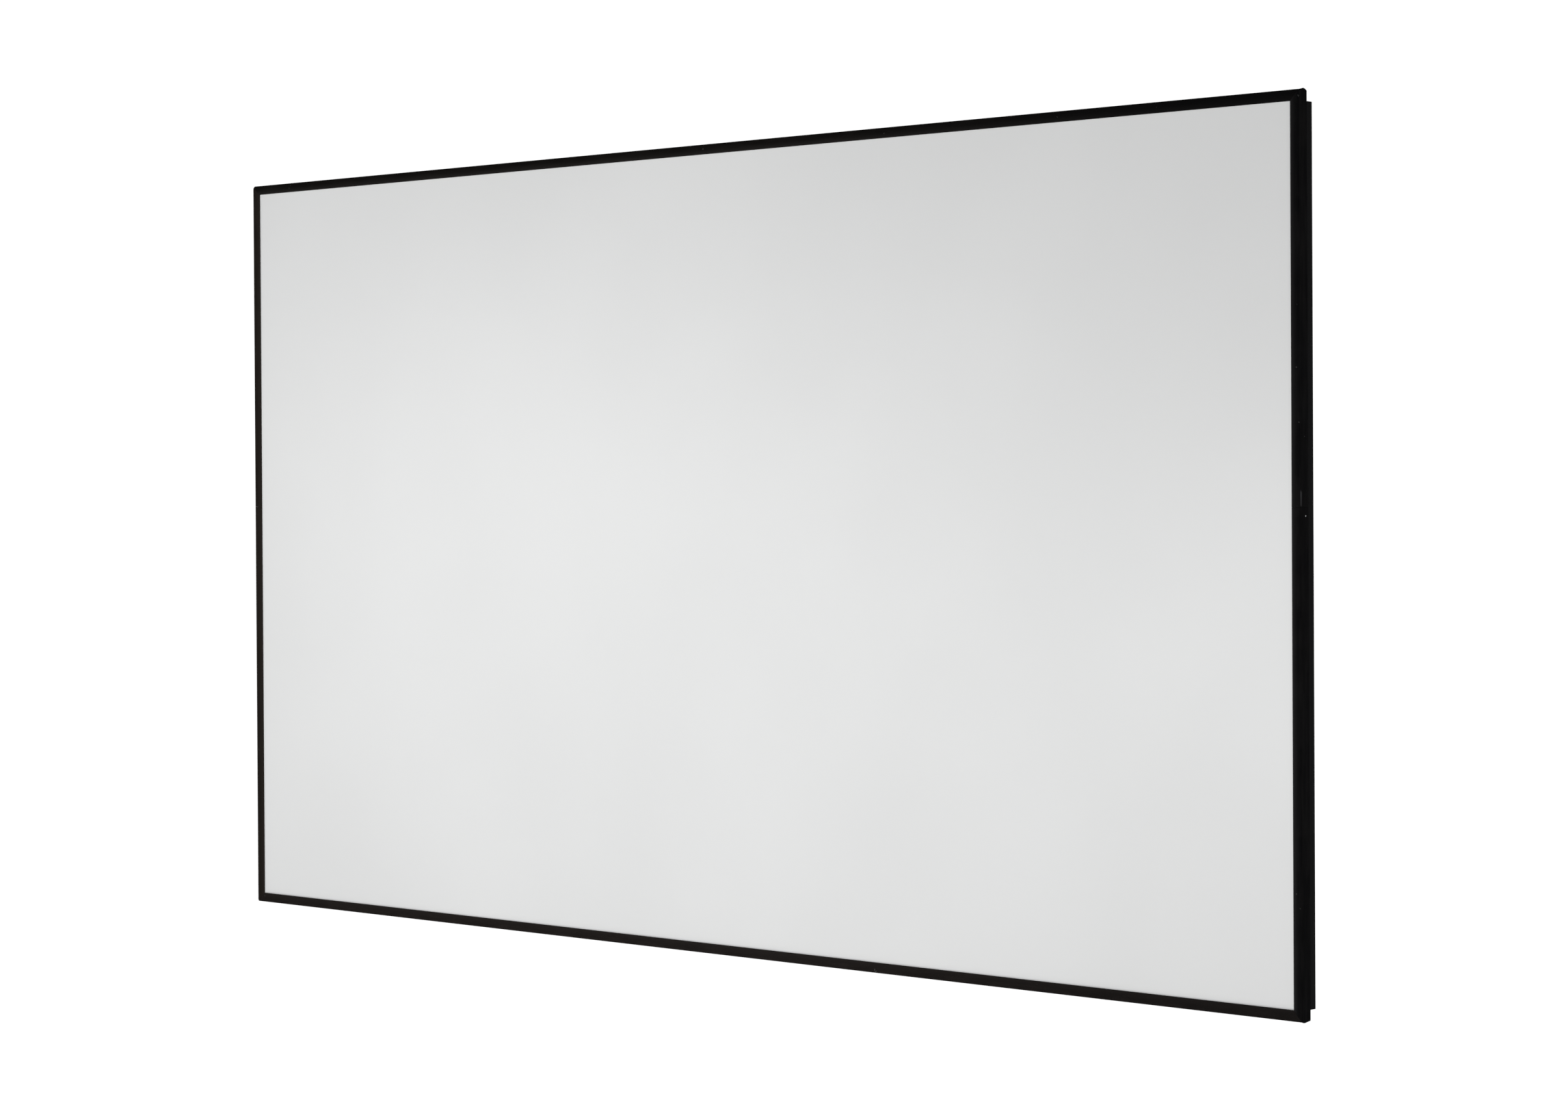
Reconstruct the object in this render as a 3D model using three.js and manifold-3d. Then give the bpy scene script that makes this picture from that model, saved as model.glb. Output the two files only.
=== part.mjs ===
// A fixed frame projector screen: a stretched fabric on four spliced aluminium rails, framed by
// velvet covered trims. The origin is the middle of the wall plane, +Z is up and the screen faces -Y.
//
// Each side is drawn in its own section: u runs outwards from the edge of the viewing area, v runs
// back from the front of the trims to the wall, and z runs along the side.

import * as THREE from 'three';
import { mergeVertices } from 'three/addons/utils/BufferGeometryUtils.js';
import Module from 'manifold-3d';

const wasm = await Module();
wasm.setup();

// Whole screen, in millimetres
const VIEW_WIDTH = 2214;
const VIEW_HEIGHT = 1245;
const FRAME_DEPTH = 35;
const CLEARANCE = 0.3;
const UPRIGHT_SEAM = 67; // height of the uprights' joint above the middle

// Trims: an L section with a crowned face and a thin lip over the fabric
const FACE_WIDTH = 15;
const SIDE_DEPTH = 20;
const TRIM_WALL = 1.6;
const LIP_THICKNESS = 3;
const CROWN_HEIGHT = 1.5;
const CROWN_WIDTH = 9;
const FACE_EDGE_RADIUS = 1.5;
const NOSE_RADIUS = 0.5;
const TRIM_INNER_RADIUS = 0.8;

// Rails: a hollow extrusion with a rib at the front, a ridge at the back and a fin for the springs
const RAIL_REACH = 24; // how far the rail lies behind the viewing area
const RAIL_WALL = 1.6;
const RAIL_WEB = 1.4;
const BODY_SETBACK = 4.4;
const BODY_DEPTH = 16.5;
const RIB_SLOPE = 3;
const RIDGE_WIDTH = 7.3;
const RAIL_FRONT_RADIUS = 2.5;
const RAIL_REAR_RADIUS = 1.5;
const RAIL_EDGE_RADIUS = 0.6;
const FIN_HEIGHT = 7.4;
const GROOVE_DEPTH = 5.5;
const GROOVE_WIDTH = 3.6;

// Fabric: folded round the rails to a hem that holds a rod
const FABRIC_THICKNESS = 0.5;
const HEM_SLOPE = 6; // degrees
const HEM_SPAN = 7;
const HEM_CORNER_CUT = 4;
const HEM_FACETS = 8;

// Rods and springs
const ROD_DIAMETER = 4;
const ROD_SETBACK = 10;
const ROD_FACETS = 6;
const SPRING_PITCH = 210;
const SPRING_LENGTH = 12.5;
const SPRING_DIAMETER = 5;
const SPRING_FACETS = 6;
const SPRING_DROP = 1.3; // how far the coils lie in front of the rod's centre
const ROD_TO_COIL = 4.1;
const WIRE_DIAMETER = 1;
const WIRE_STEPS = 4;
const WIRE_BITE = 0.15;
const HOOK_FALL = 2.5;
const WINDOW_WIDTH = 14;

// Keys and corner blocks
const KEY_LEG = 80;
const SPLICE_KEY_LENGTH = 160;
const KEY_WALL = 2.5;
const KEY_FLOOR = 3;
const BLOCK_ARM = 10;

// Centre brace and its moulded ends
const BRACE_WIDTH = 30;
const BRACE_DEPTH = 10;
const BRACE_WALL = 1.5;
const BRACE_CORNER_RADIUS = 2;
const HEAD_THICKNESS = 3;
const HEAD_MARGIN = 2; // how far the head stands past the brace on each side
const HEAD_SETBACK = 1; // from the front of the rail body
const PLUG_LENGTH = 20;
const GUSSET_LENGTH = 18;
const TONGUE_SIDE_GAP = 0.5;
const TONGUE_END_GAP = 1;

// Wall hangers and clips
const HANGER_WIDTH = 60;
const HANGER_SHEET = 2;
const HANGER_HEIGHT = 50;
const HANGER_BEND_RADIUS = 2;
const CLIP_WIDTH = 40;
const CLIP_SHEET = 1.2;
const CLIP_HEIGHT = 44;
const CLIP_LEAF_GAP = 0.7;
const CLIP_FLARE = 3;
const BEAD_DEPTH = 2.4;
const SLOT_WIDTH = 5.5;
const SLOT_LENGTH = 12;
const SLOT_SPACING = 32;
const SLOT_END_FLAT = 0.05; // half the flat that is left between a slot's two end fillets
const FIXING_SPRING_GAPS = 3; // hangers and clips stand this many spring spacings from the middle

// The arcs of the sections are stepped by these angles, the coarse one on edges under 1 mm
const ARC_STEP = Math.PI / 7;
const EDGE_STEP = Math.PI / 4;
const EDGE_RADIUS_LIMIT = 1;
const CROWN_STEPS = 4;

// Where the layers of the section lie, from the sizes above
const fabricFront = LIP_THICKNESS + CLEARANCE;
const railFront = fabricFront + FABRIC_THICKNESS + CLEARANCE;
const bodyFront = railFront + BODY_SETBACK;
const bodyBack = bodyFront + BODY_DEPTH;
const bodyMiddle = (bodyFront + bodyBack) / 2;
const railBack = FRAME_DEPTH - FABRIC_THICKNESS - CLEARANCE;
const trimInner = FACE_WIDTH - TRIM_WALL;
const railOuter = trimInner - CLEARANCE - FABRIC_THICKNESS - CLEARANCE;
const ridgeInner = railOuter - RIDGE_WIDTH;
const finTip = bodyBack + FIN_HEIGHT;
const grooveFront = bodyMiddle - GROOVE_WIDTH / 2;
const grooveBack = bodyMiddle + GROOVE_WIDTH / 2;
const mitreCut = CLEARANCE / Math.SQRT2;

// The key chamber runs between the front wall and the floor of the recess
const chamber = {
  inner: GROOVE_DEPTH + RAIL_WALL - RAIL_REACH,
  outer: -RAIL_WEB,
  front: bodyFront + RAIL_WALL,
  back: bodyBack - RAIL_WALL,
};

// The slope of the front rib, and where its wall starts inside
const slopeRise = RAIL_WALL * Math.hypot(RIB_SLOPE, BODY_SETBACK) / RIB_SLOPE;
const slopeFoot = bodyFront + slopeRise;
const slopeTop = RIB_SLOPE * (1 + (slopeRise - RAIL_WALL) / BODY_SETBACK);

// The hem: the fabric leaves the ridge at a small slope and closes round the rod
const halfFabric = FABRIC_THICKNESS / 2;
const wrapOffset = CLEARANCE + halfFabric;
const hemTurn = THREE.MathUtils.degToRad(HEM_SLOPE);
const hemNormal = new THREE.Vector2(-Math.sin(hemTurn), Math.cos(hemTurn));
const hemInner = ROD_DIAMETER / 2 + CLEARANCE;
const hemOuter = hemInner + FABRIC_THICKNESS;
const hemBend = new THREE.Vector2(ridgeInner + RAIL_REAR_RADIUS, railBack - RAIL_REAR_RADIUS);
const hemBendRadius = RAIL_REAR_RADIUS + wrapOffset;
const hemEnd = hemBend.clone()
  .addScaledVector(hemNormal, hemBendRadius)
  .add(new THREE.Vector2(-Math.cos(hemTurn), -Math.sin(hemTurn)).multiplyScalar(HEM_SPAN));
const rod = hemEnd.clone().addScaledVector(hemNormal, -(hemInner + hemOuter) / 2);

const MATERIALS = {
  velvet: new THREE.MeshStandardMaterial({ color: 0x141416, roughness: 0.95, metalness: 0 }),
  rail: new THREE.MeshStandardMaterial({ color: 0x1c1d20, roughness: 0.45, metalness: 0.8 }),
  fabric: new THREE.MeshStandardMaterial({ color: 0xe9ebee, roughness: 0.9, metalness: 0 }),
  plastic: new THREE.MeshStandardMaterial({ color: 0x1a1a1c, roughness: 0.6, metalness: 0 }),
  alloy: new THREE.MeshStandardMaterial({ color: 0x9a9da1, roughness: 0.5, metalness: 0.9 }),
  steel: new THREE.MeshStandardMaterial({ color: 0xb4b8bc, roughness: 0.35, metalness: 1 }),
};

// The sides in the order right, top, left, bottom: each is the one before, turned a quarter.
// The first half of each side runs to its +z end, which is the corner named here.
const halfWidth = VIEW_WIDTH / 2;
const halfHeight = VIEW_HEIGHT / 2;
const SIDES = [
  { name: 'right', reach: halfWidth, span: halfHeight, seam: UPRIGHT_SEAM,
    halves: ['upper', 'lower'], corner: 'top_right' },
  { name: 'top', reach: halfHeight, span: halfWidth, seam: 0,
    halves: ['left', 'right'], corner: 'top_left' },
  { name: 'left', reach: halfWidth, span: halfHeight, seam: -UPRIGHT_SEAM,
    halves: ['lower', 'upper'], corner: 'bottom_left' },
  { name: 'bottom', reach: halfHeight, span: halfWidth, seam: 0,
    halves: ['right', 'left'], corner: 'bottom_right' },
];

// Points along an arc, both ends included
function arcPoints(x, y, radius, start, end, step = ARC_STEP) {
  const steps = Math.max(1, Math.ceil(Math.abs(end - start) / step - 1e-6));
  return Array.from({ length: steps + 1 }, (_, i) => {
    const angle = start + (end - start) * i / steps;
    return new THREE.Vector2(x + radius * Math.cos(angle), y + radius * Math.sin(angle));
  });
}

// The points of an outline or path whose corners are given as [x, y, radius]
function rounded(corners, closed = true, arcStep = ARC_STEP) {
  const count = corners.length;
  return corners.flatMap(([x, y, radius = 0], i) => {
    const corner = new THREE.Vector2(x, y);
    const isEnd = !closed && (i === 0 || i === count - 1);
    if (!radius || isEnd) return [corner];
    const [ax, ay] = corners[(i + count - 1) % count];
    const [bx, by] = corners[(i + 1) % count];
    const before = new THREE.Vector2(ax, ay).sub(corner).normalize();
    const after = new THREE.Vector2(bx, by).sub(corner).normalize();
    const half = Math.acos(THREE.MathUtils.clamp(before.dot(after), -1, 1)) / 2;
    const middle = before.clone().add(after).normalize()
      .multiplyScalar(radius / Math.sin(half)).add(corner);
    const start = before.multiplyScalar(radius / Math.tan(half)).add(corner).sub(middle).angle();
    const end = after.multiplyScalar(radius / Math.tan(half)).add(corner).sub(middle).angle();
    const turn = THREE.MathUtils.euclideanModulo(end - start + Math.PI, 2 * Math.PI) - Math.PI;
    const step = radius < EDGE_RADIUS_LIMIT ? EDGE_STEP : arcStep;
    return arcPoints(middle.x, middle.y, radius, start, start + turn, step);
  });
}

// A path moved sideways: to its right for a positive distance
function offsetPath(points, distance) {
  const last = points.length - 1;
  return points.map((point, i) => {
    const into = points[Math.max(i, 1)].clone().sub(points[Math.max(i, 1) - 1]).normalize();
    const out = points[Math.min(i, last - 1) + 1].clone().sub(points[Math.min(i, last - 1)]).normalize();
    const along = into.clone().add(out).normalize();
    const reach = distance / Math.max(along.dot(into), 0.2);
    return new THREE.Vector2(point.x + along.y * reach, point.y - along.x * reach);
  });
}

// The outline of a bent sheet of even thickness along a path
function sheetOutline(path, thickness) {
  return [...offsetPath(path, thickness / 2), ...offsetPath(path, -thickness / 2).reverse()];
}

function shapeOf(outline, holes = []) {
  const shape = new THREE.Shape(outline);
  shape.holes = holes.map((hole) => new THREE.Path(hole));
  return shape;
}

// A (u, v) section run along z
function bar(outline, from, to, holes = []) {
  const depth = to - from;
  return new THREE.ExtrudeGeometry(shapeOf(outline, holes), { depth, bevelEnabled: false })
    .translate(0, 0, from);
}

// A (u, z) outline run along v
function plate(outline, front, back, holes = []) {
  const depth = back - front;
  return new THREE.ExtrudeGeometry(shapeOf(outline, holes), { depth, bevelEnabled: false })
    .rotateX(Math.PI / 2)
    .translate(0, back, 0);
}

function rectangle(left, right, low, high, radius = 0, arcStep = ARC_STEP) {
  return rounded([
    [left, low, radius], [right, low, radius], [right, high, radius], [left, high, radius],
  ], true, arcStep);
}

function solidOf(geometry) {
  const bare = geometry.clone();
  bare.deleteAttribute('normal');
  bare.deleteAttribute('uv');
  const merged = mergeVertices(bare, 1e-4);
  return new wasm.Manifold(new wasm.Mesh({
    numProp: 3,
    vertProperties: new Float32Array(merged.attributes.position.array),
    triVerts: new Uint32Array(merged.index.array),
  }));
}

function geometryOf(solid) {
  const { vertProperties, triVerts } = solid.getMesh();
  const geometry = new THREE.BufferGeometry();
  geometry.setAttribute('position', new THREE.BufferAttribute(vertProperties, 3));
  geometry.setIndex(new THREE.BufferAttribute(triVerts, 1));
  geometry.computeVertexNormals();
  return geometry;
}

function join(geometries) {
  return geometryOf(geometries.map(solidOf).reduce((whole, next) => whole.add(next)));
}

function cut(geometry, tools) {
  return geometryOf(tools.map(solidOf).reduce((left, tool) => left.subtract(tool), solidOf(geometry)));
}

function piece(name, geometry, material) {
  const mesh = new THREE.Mesh(geometry, material);
  mesh.name = name;
  return mesh;
}

// The two lengths of a side, either side of its seam
function halvesOf({ span, seam, halves }) {
  return [
    { half: halves[0], from: seam + CLEARANCE / 2, to: span, outward: 1 },
    { half: halves[1], from: -span, to: seam - CLEARANCE / 2, outward: -1 },
  ];
}

// Where the springs of a side stand: an even number, so that the middle stays free
function springPlaces(span) {
  const count = 2 * Math.max(1, Math.round(span / SPRING_PITCH));
  const gap = 2 * span / count;
  return Array.from({ length: count }, (_, i) => -span + gap * (i + 0.5));
}

// Trims
function trimOutline() {
  const crown = Array.from({ length: CROWN_STEPS }, (_, i) => {
    const u = CROWN_WIDTH * (i + 1) / CROWN_STEPS;
    return [u, CROWN_HEIGHT * ((CROWN_WIDTH - u) / CROWN_WIDTH) ** 2];
  });
  return rounded([
    [0, LIP_THICKNESS, NOSE_RADIUS],
    [0, CROWN_HEIGHT, NOSE_RADIUS],
    ...crown,
    [FACE_WIDTH, 0, FACE_EDGE_RADIUS],
    [FACE_WIDTH, SIDE_DEPTH, RAIL_EDGE_RADIUS],
    [trimInner, SIDE_DEPTH, RAIL_EDGE_RADIUS],
    [trimInner, LIP_THICKNESS, TRIM_INNER_RADIUS],
  ]);
}

// The end cap at the corner is slid along z to the mitre, which leaves the section as it is
function trimGeometry({ from, to, outward }) {
  const geometry = bar(trimOutline(), from, to);
  const mitreEnd = outward > 0 ? to : from;
  const position = geometry.attributes.position;
  for (let i = 0; i < position.count; i++) {
    if (Math.abs(position.getZ(i) - mitreEnd) < 1e-3) {
      position.setZ(i, mitreEnd + outward * (position.getX(i) - mitreCut));
    }
  }
  return geometry;
}

// Rails
function railSection() {
  const edge = RAIL_EDGE_RADIUS;
  const inner = -RAIL_REACH;
  const outline = rounded([
    [inner, bodyFront, edge],
    [0, bodyFront],
    [RIB_SLOPE, railFront],
    [railOuter, railFront, RAIL_FRONT_RADIUS],
    [railOuter, railBack, RAIL_REAR_RADIUS],
    [ridgeInner, railBack, RAIL_REAR_RADIUS],
    [ridgeInner, bodyBack],
    [inner + RAIL_WALL, bodyBack],
    [inner + RAIL_WALL, finTip, edge],
    [inner, finTip, edge],
    [inner, grooveBack],
    [inner + GROOVE_DEPTH, grooveBack],
    [inner + GROOVE_DEPTH, grooveFront],
    [inner, grooveFront],
  ]);
  const keyChamber = rounded([
    [inner + RAIL_WALL, chamber.front],
    [chamber.outer, chamber.front],
    [chamber.outer, chamber.back],
    [inner + RAIL_WALL, chamber.back],
    [inner + RAIL_WALL, grooveBack + RAIL_WALL],
    [chamber.inner, grooveBack + RAIL_WALL],
    [chamber.inner, grooveFront - RAIL_WALL],
    [inner + RAIL_WALL, grooveFront - RAIL_WALL],
  ]);
  const ridgeChamber = rounded([
    [0, slopeFoot],
    [slopeTop, railFront + RAIL_WALL],
    [railOuter - RAIL_WALL, railFront + RAIL_WALL, RAIL_FRONT_RADIUS - RAIL_WALL],
    [railOuter - RAIL_WALL, railBack - RAIL_WALL],
    [ridgeInner + RAIL_WALL, railBack - RAIL_WALL],
    [ridgeInner + RAIL_WALL, chamber.back],
    [0, chamber.back],
  ]);
  return { outline, holes: [keyChamber, ridgeChamber] };
}

// The wedge that mitres what lies inside the line u = start, at one end of a side
function mitreWedge(start, end, outward, front, back) {
  const reach = RAIL_REACH + HEM_SPAN + start;
  const over = 1;
  const outline = [
    [start, end - mitreCut],
    [start - reach, end - mitreCut - reach],
    [start - reach, end + over],
    [start, end + over],
  ];
  return plate(outline.map(([u, z]) => new THREE.Vector2(u, outward * z)), front, back);
}

function railGeometry({ from, to, outward }, span) {
  const { outline, holes } = railSection();
  return cut(bar(outline, from, to, holes), [mitreWedge(0, span, outward, 0, FRAME_DEPTH)]);
}

// Fabric
function fabricFlapSection() {
  const middle = trimInner - CLEARANCE - halfFabric;
  const bendShift = hemBendRadius * Math.tan(hemTurn / 2);
  const path = rounded([
    [-1, fabricFront + halfFabric],
    [middle, fabricFront + halfFabric, RAIL_FRONT_RADIUS + wrapOffset],
    [middle, FRAME_DEPTH - halfFabric, RAIL_REAR_RADIUS + wrapOffset],
    [hemBend.x - bendShift, FRAME_DEPTH - halfFabric, hemBendRadius],
    [hemEnd.x, hemEnd.y],
  ], false);
  const start = hemNormal.angle();
  const overlap = Math.acos(hemInner / hemOuter);
  const facet = 2 * Math.PI / HEM_FACETS;
  const turn = start + 2 * Math.PI - overlap;
  const ring = arcPoints(rod.x, rod.y, hemOuter, start, turn, facet);
  const pocket = arcPoints(rod.x, rod.y, hemInner, start, start + 2 * Math.PI, facet).slice(0, -1);
  const outline = [
    ...offsetPath(path, halfFabric).slice(0, -1),
    ...ring,
    ...offsetPath(path, -halfFabric).slice(0, -1).reverse(),
  ];
  return { outline, holes: [pocket] };
}

// One flap, with its hem open at each spring and cut back at its corners
function flapGeometry(span) {
  const { outline, holes } = fabricFlapSection();
  const windowInner = rod.x - hemOuter - CLEARANCE;
  const windowOuter = rod.x + ROD_DIAMETER / 2 + WIRE_DIAMETER + CLEARANCE;
  const windows = springPlaces(span).map((z) => plate(
    rectangle(windowInner, windowOuter, z - WINDOW_WIDTH / 2, z + WINDOW_WIDTH / 2),
    bodyBack,
    FRAME_DEPTH + CLEARANCE,
  ));
  const corners = [1, -1].map((outward) => (
    mitreWedge(HEM_CORNER_CUT, span, outward, bodyBack, FRAME_DEPTH + CLEARANCE)
  ));
  return cut(bar(outline, -span, span, holes), [...windows, ...corners]);
}

function fabricGeometry() {
  const front = plate(
    rectangle(-halfWidth, halfWidth, -halfHeight, halfHeight),
    fabricFront,
    fabricFront + FABRIC_THICKNESS,
  );
  const flaps = SIDES.map(({ reach, span }, turn) => (
    flapGeometry(span).translate(reach, 0, 0).rotateY(-Math.PI / 2 * turn)
  ));
  return join([front, ...flaps]);
}

// Rods and springs
function wire(points) {
  const path = new THREE.CatmullRomCurve3(points.map(([u, v]) => new THREE.Vector3(u, v, 0)));
  const radius = WIRE_DIAMETER / 2;
  const section = new THREE.Shape(arcPoints(0, 0, radius, 0, 2 * Math.PI, Math.PI / 2).slice(0, -1));
  return new THREE.ExtrudeGeometry(section, { extrudePath: path, steps: WIRE_STEPS, bevelEnabled: false });
}

// One spring at z = 0: an eye round the rod, the coils, and a hook over the fin
function springGeometry() {
  const axis = rod.y - SPRING_DROP;
  const coilStart = rod.x - ROD_TO_COIL;
  const coilEnd = coilStart - SPRING_LENGTH;
  const facet = 2 * Math.PI / SPRING_FACETS;
  const round = arcPoints(0, 0, SPRING_DIAMETER / 2, 0, 2 * Math.PI, facet).slice(0, -1);
  const coils = bar(round, 0, SPRING_LENGTH).rotateY(Math.PI / 2).translate(coilEnd, axis, 0);
  const loop = ROD_DIAMETER / 2 + WIRE_DIAMETER / 2 - WIRE_BITE;
  const eye = arcPoints(rod.x, rod.y, loop, Math.PI * 1.15, Math.PI * 2.2, Math.PI / 3)
    .map(({ x, y }) => [x, y]);
  const crest = finTip + WIRE_DIAMETER / 2 + CLEARANCE;
  const finInner = RAIL_WALL - RAIL_REACH;
  const hookEnd = -RAIL_REACH - WIRE_DIAMETER / 2 - CLEARANCE;
  const hook = [
    [coilEnd + WIRE_DIAMETER, axis],
    [coilEnd - WIRE_DIAMETER, axis + WIRE_DIAMETER / 2],
    [finInner + WIRE_DIAMETER, crest - WIRE_DIAMETER / 2],
    [finInner - RAIL_WALL / 2, crest + WIRE_DIAMETER / 4],
    [hookEnd, crest - WIRE_DIAMETER / 2],
    [hookEnd - WIRE_DIAMETER / 4, crest - HOOK_FALL],
  ];
  const start = [coilStart - WIRE_DIAMETER, axis];
  return join([coils, wire([start, ...eye]), wire(hook)]);
}

function rodGeometry(span) {
  const length = 2 * (span - ROD_SETBACK);
  const bare = new THREE.CylinderGeometry(ROD_DIAMETER / 2, ROD_DIAMETER / 2, length, ROD_FACETS)
    .rotateX(Math.PI / 2)
    .translate(rod.x, rod.y, 0);
  const spring = springGeometry();
  return join([bare, ...springPlaces(span).map((z) => spring.clone().translate(0, 0, z))]);
}

// Keys: cast bars with a pocket, one straight and one with two legs, open to the front
function pocketed(outlineAt) {
  const front = chamber.front + CLEARANCE;
  const back = chamber.back - CLEARANCE;
  return cut(plate(outlineAt(0), front, back), [
    plate(outlineAt(KEY_WALL), front - CLEARANCE, back - KEY_FLOOR),
  ]);
}

function spliceKeyGeometry() {
  const inner = chamber.inner + CLEARANCE;
  const outer = chamber.outer - CLEARANCE;
  const half = SPLICE_KEY_LENGTH / 2;
  return pocketed((inset) => rectangle(inner + inset, outer - inset, inset - half, half - inset));
}

function cornerKeyGeometry() {
  const inner = chamber.inner + CLEARANCE;
  const outer = chamber.outer - CLEARANCE;
  return pocketed((inset) => rounded([
    [outer - inset, outer - inset],
    [inset - KEY_LEG, outer - inset],
    [inset - KEY_LEG, inner + inset],
    [inner + inset, inner + inset],
    [inner + inset, inset - KEY_LEG],
    [outer - inset, inset - KEY_LEG],
  ]));
}

// A block that fills the corner behind the mitre of the trims, with an arm into each rail
function cornerBlockGeometry() {
  const side = trimInner - TRIM_INNER_RADIUS;
  const armOuter = railOuter - RAIL_WALL - CLEARANCE;
  const arms = [
    [CLEARANCE, CLEARANCE], [-BLOCK_ARM, CLEARANCE], [-BLOCK_ARM, armOuter],
    [armOuter, armOuter], [armOuter, -BLOCK_ARM], [CLEARANCE, -BLOCK_ARM],
  ].map(([u, z]) => new THREE.Vector2(u, z));
  const back = SIDE_DEPTH - TRIM_INNER_RADIUS;
  return join([
    plate(rectangle(CLEARANCE, side, CLEARANCE, side), LIP_THICKNESS + TRIM_INNER_RADIUS, back),
    plate(arms, slopeFoot + CLEARANCE, back),
  ]);
}

// Centre brace: a rectangular tube between the long rails, with its back on the wall plane
const braceEnd = halfHeight - RAIL_REACH - CLEARANCE - HEAD_THICKNESS - CLEARANCE;
const braceFront = FRAME_DEPTH - BRACE_DEPTH;

function braceGeometry() {
  const half = BRACE_WIDTH / 2;
  const inset = BRACE_WALL;
  const outline = rectangle(-half, half, braceFront, FRAME_DEPTH, BRACE_CORNER_RADIUS);
  const bore = rectangle(
    inset - half, half - inset, braceFront + inset, FRAME_DEPTH - inset, BRACE_CORNER_RADIUS - inset,
  );
  return bar(outline, -braceEnd, braceEnd, [bore]);
}

// A moulded end: a head against the rail, a tongue in its groove, a gusset and a plug in the tube
function braceEndGeometry() {
  const headOuter = -RAIL_REACH - CLEARANCE;
  const headInner = headOuter - HEAD_THICKNESS;
  const headFront = bodyFront + HEAD_SETBACK;
  const tongueEnd = GROOVE_DEPTH - RAIL_REACH - TONGUE_END_GAP;
  const halfHead = BRACE_WIDTH / 2 + HEAD_MARGIN;
  const head = rounded([
    [headOuter, headFront, RAIL_EDGE_RADIUS],
    [headOuter, grooveFront + TONGUE_SIDE_GAP],
    [tongueEnd, grooveFront + TONGUE_SIDE_GAP, RAIL_EDGE_RADIUS],
    [tongueEnd, grooveBack - TONGUE_SIDE_GAP, RAIL_EDGE_RADIUS],
    [headOuter, grooveBack - TONGUE_SIDE_GAP],
    [headOuter, FRAME_DEPTH],
    [headInner, FRAME_DEPTH],
    [headInner, braceFront - CLEARANCE],
    [headInner - GUSSET_LENGTH, braceFront - CLEARANCE],
    [headInner, headFront + HEAD_THICKNESS, HEAD_THICKNESS],
    [headInner, headFront, RAIL_EDGE_RADIUS],
  ]);
  const inset = BRACE_WALL + CLEARANCE;
  const halfPlug = BRACE_WIDTH / 2 - inset;
  const plug = plate(
    rectangle(headInner - PLUG_LENGTH, headInner + HEAD_THICKNESS / 2, -halfPlug, halfPlug),
    braceFront + inset,
    FRAME_DEPTH - inset,
  );
  return join([bar(head, -halfHead, halfHead), plug]);
}

// Wall hangers and clips: bent sheets with two slots for the wall screws
function slots(plateInner, plateOuter) {
  const middle = (plateInner + plateOuter) / 2;
  const halfLength = SLOT_LENGTH / 2;
  return [-1, 1].map((side) => {
    const z = side * SLOT_SPACING / 2;
    const outline = rectangle(
      middle - halfLength, middle + halfLength, z - SLOT_WIDTH / 2, z + SLOT_WIDTH / 2,
      SLOT_WIDTH / 2 - SLOT_END_FLAT,
      EDGE_STEP,
    );
    return plate(outline, FRAME_DEPTH - HANGER_SHEET - CLEARANCE, FRAME_DEPTH + CLEARANCE);
  });
}

function hangerGeometry() {
  const shelf = -RAIL_REACH - CLEARANCE - HANGER_SHEET / 2;
  const plateMiddle = FRAME_DEPTH - HANGER_SHEET / 2;
  const path = rounded([
    [shelf - HANGER_HEIGHT, plateMiddle],
    [shelf, plateMiddle, HANGER_BEND_RADIUS],
    [shelf, bodyMiddle, HANGER_BEND_RADIUS],
    [GROOVE_DEPTH - RAIL_REACH - TONGUE_END_GAP, bodyMiddle],
  ], false);
  const sheet = bar(sheetOutline(path, HANGER_SHEET), -HANGER_WIDTH / 2, HANGER_WIDTH / 2);
  return cut(sheet, slots(shelf - HANGER_HEIGHT, shelf));
}

function clipGeometry() {
  const leaf = -RAIL_REACH - CLIP_LEAF_GAP - CLIP_SHEET / 2;
  const plateMiddle = FRAME_DEPTH - CLIP_SHEET / 2;
  const beadHalf = GROOVE_WIDTH / 2 - CLIP_SHEET / 6;
  const path = rounded([
    [leaf - CLIP_HEIGHT, plateMiddle],
    [leaf, plateMiddle, HANGER_BEND_RADIUS],
    [leaf, bodyMiddle + beadHalf],
    [leaf + BEAD_DEPTH, bodyMiddle],
    [leaf, bodyMiddle - beadHalf],
    [leaf - CLIP_FLARE, bodyFront],
  ], false);
  const sheet = bar(sheetOutline(path, CLIP_SHEET), -CLIP_WIDTH / 2, CLIP_WIDTH / 2);
  return cut(sheet, slots(leaf - CLIP_HEIGHT, leaf));
}

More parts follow.
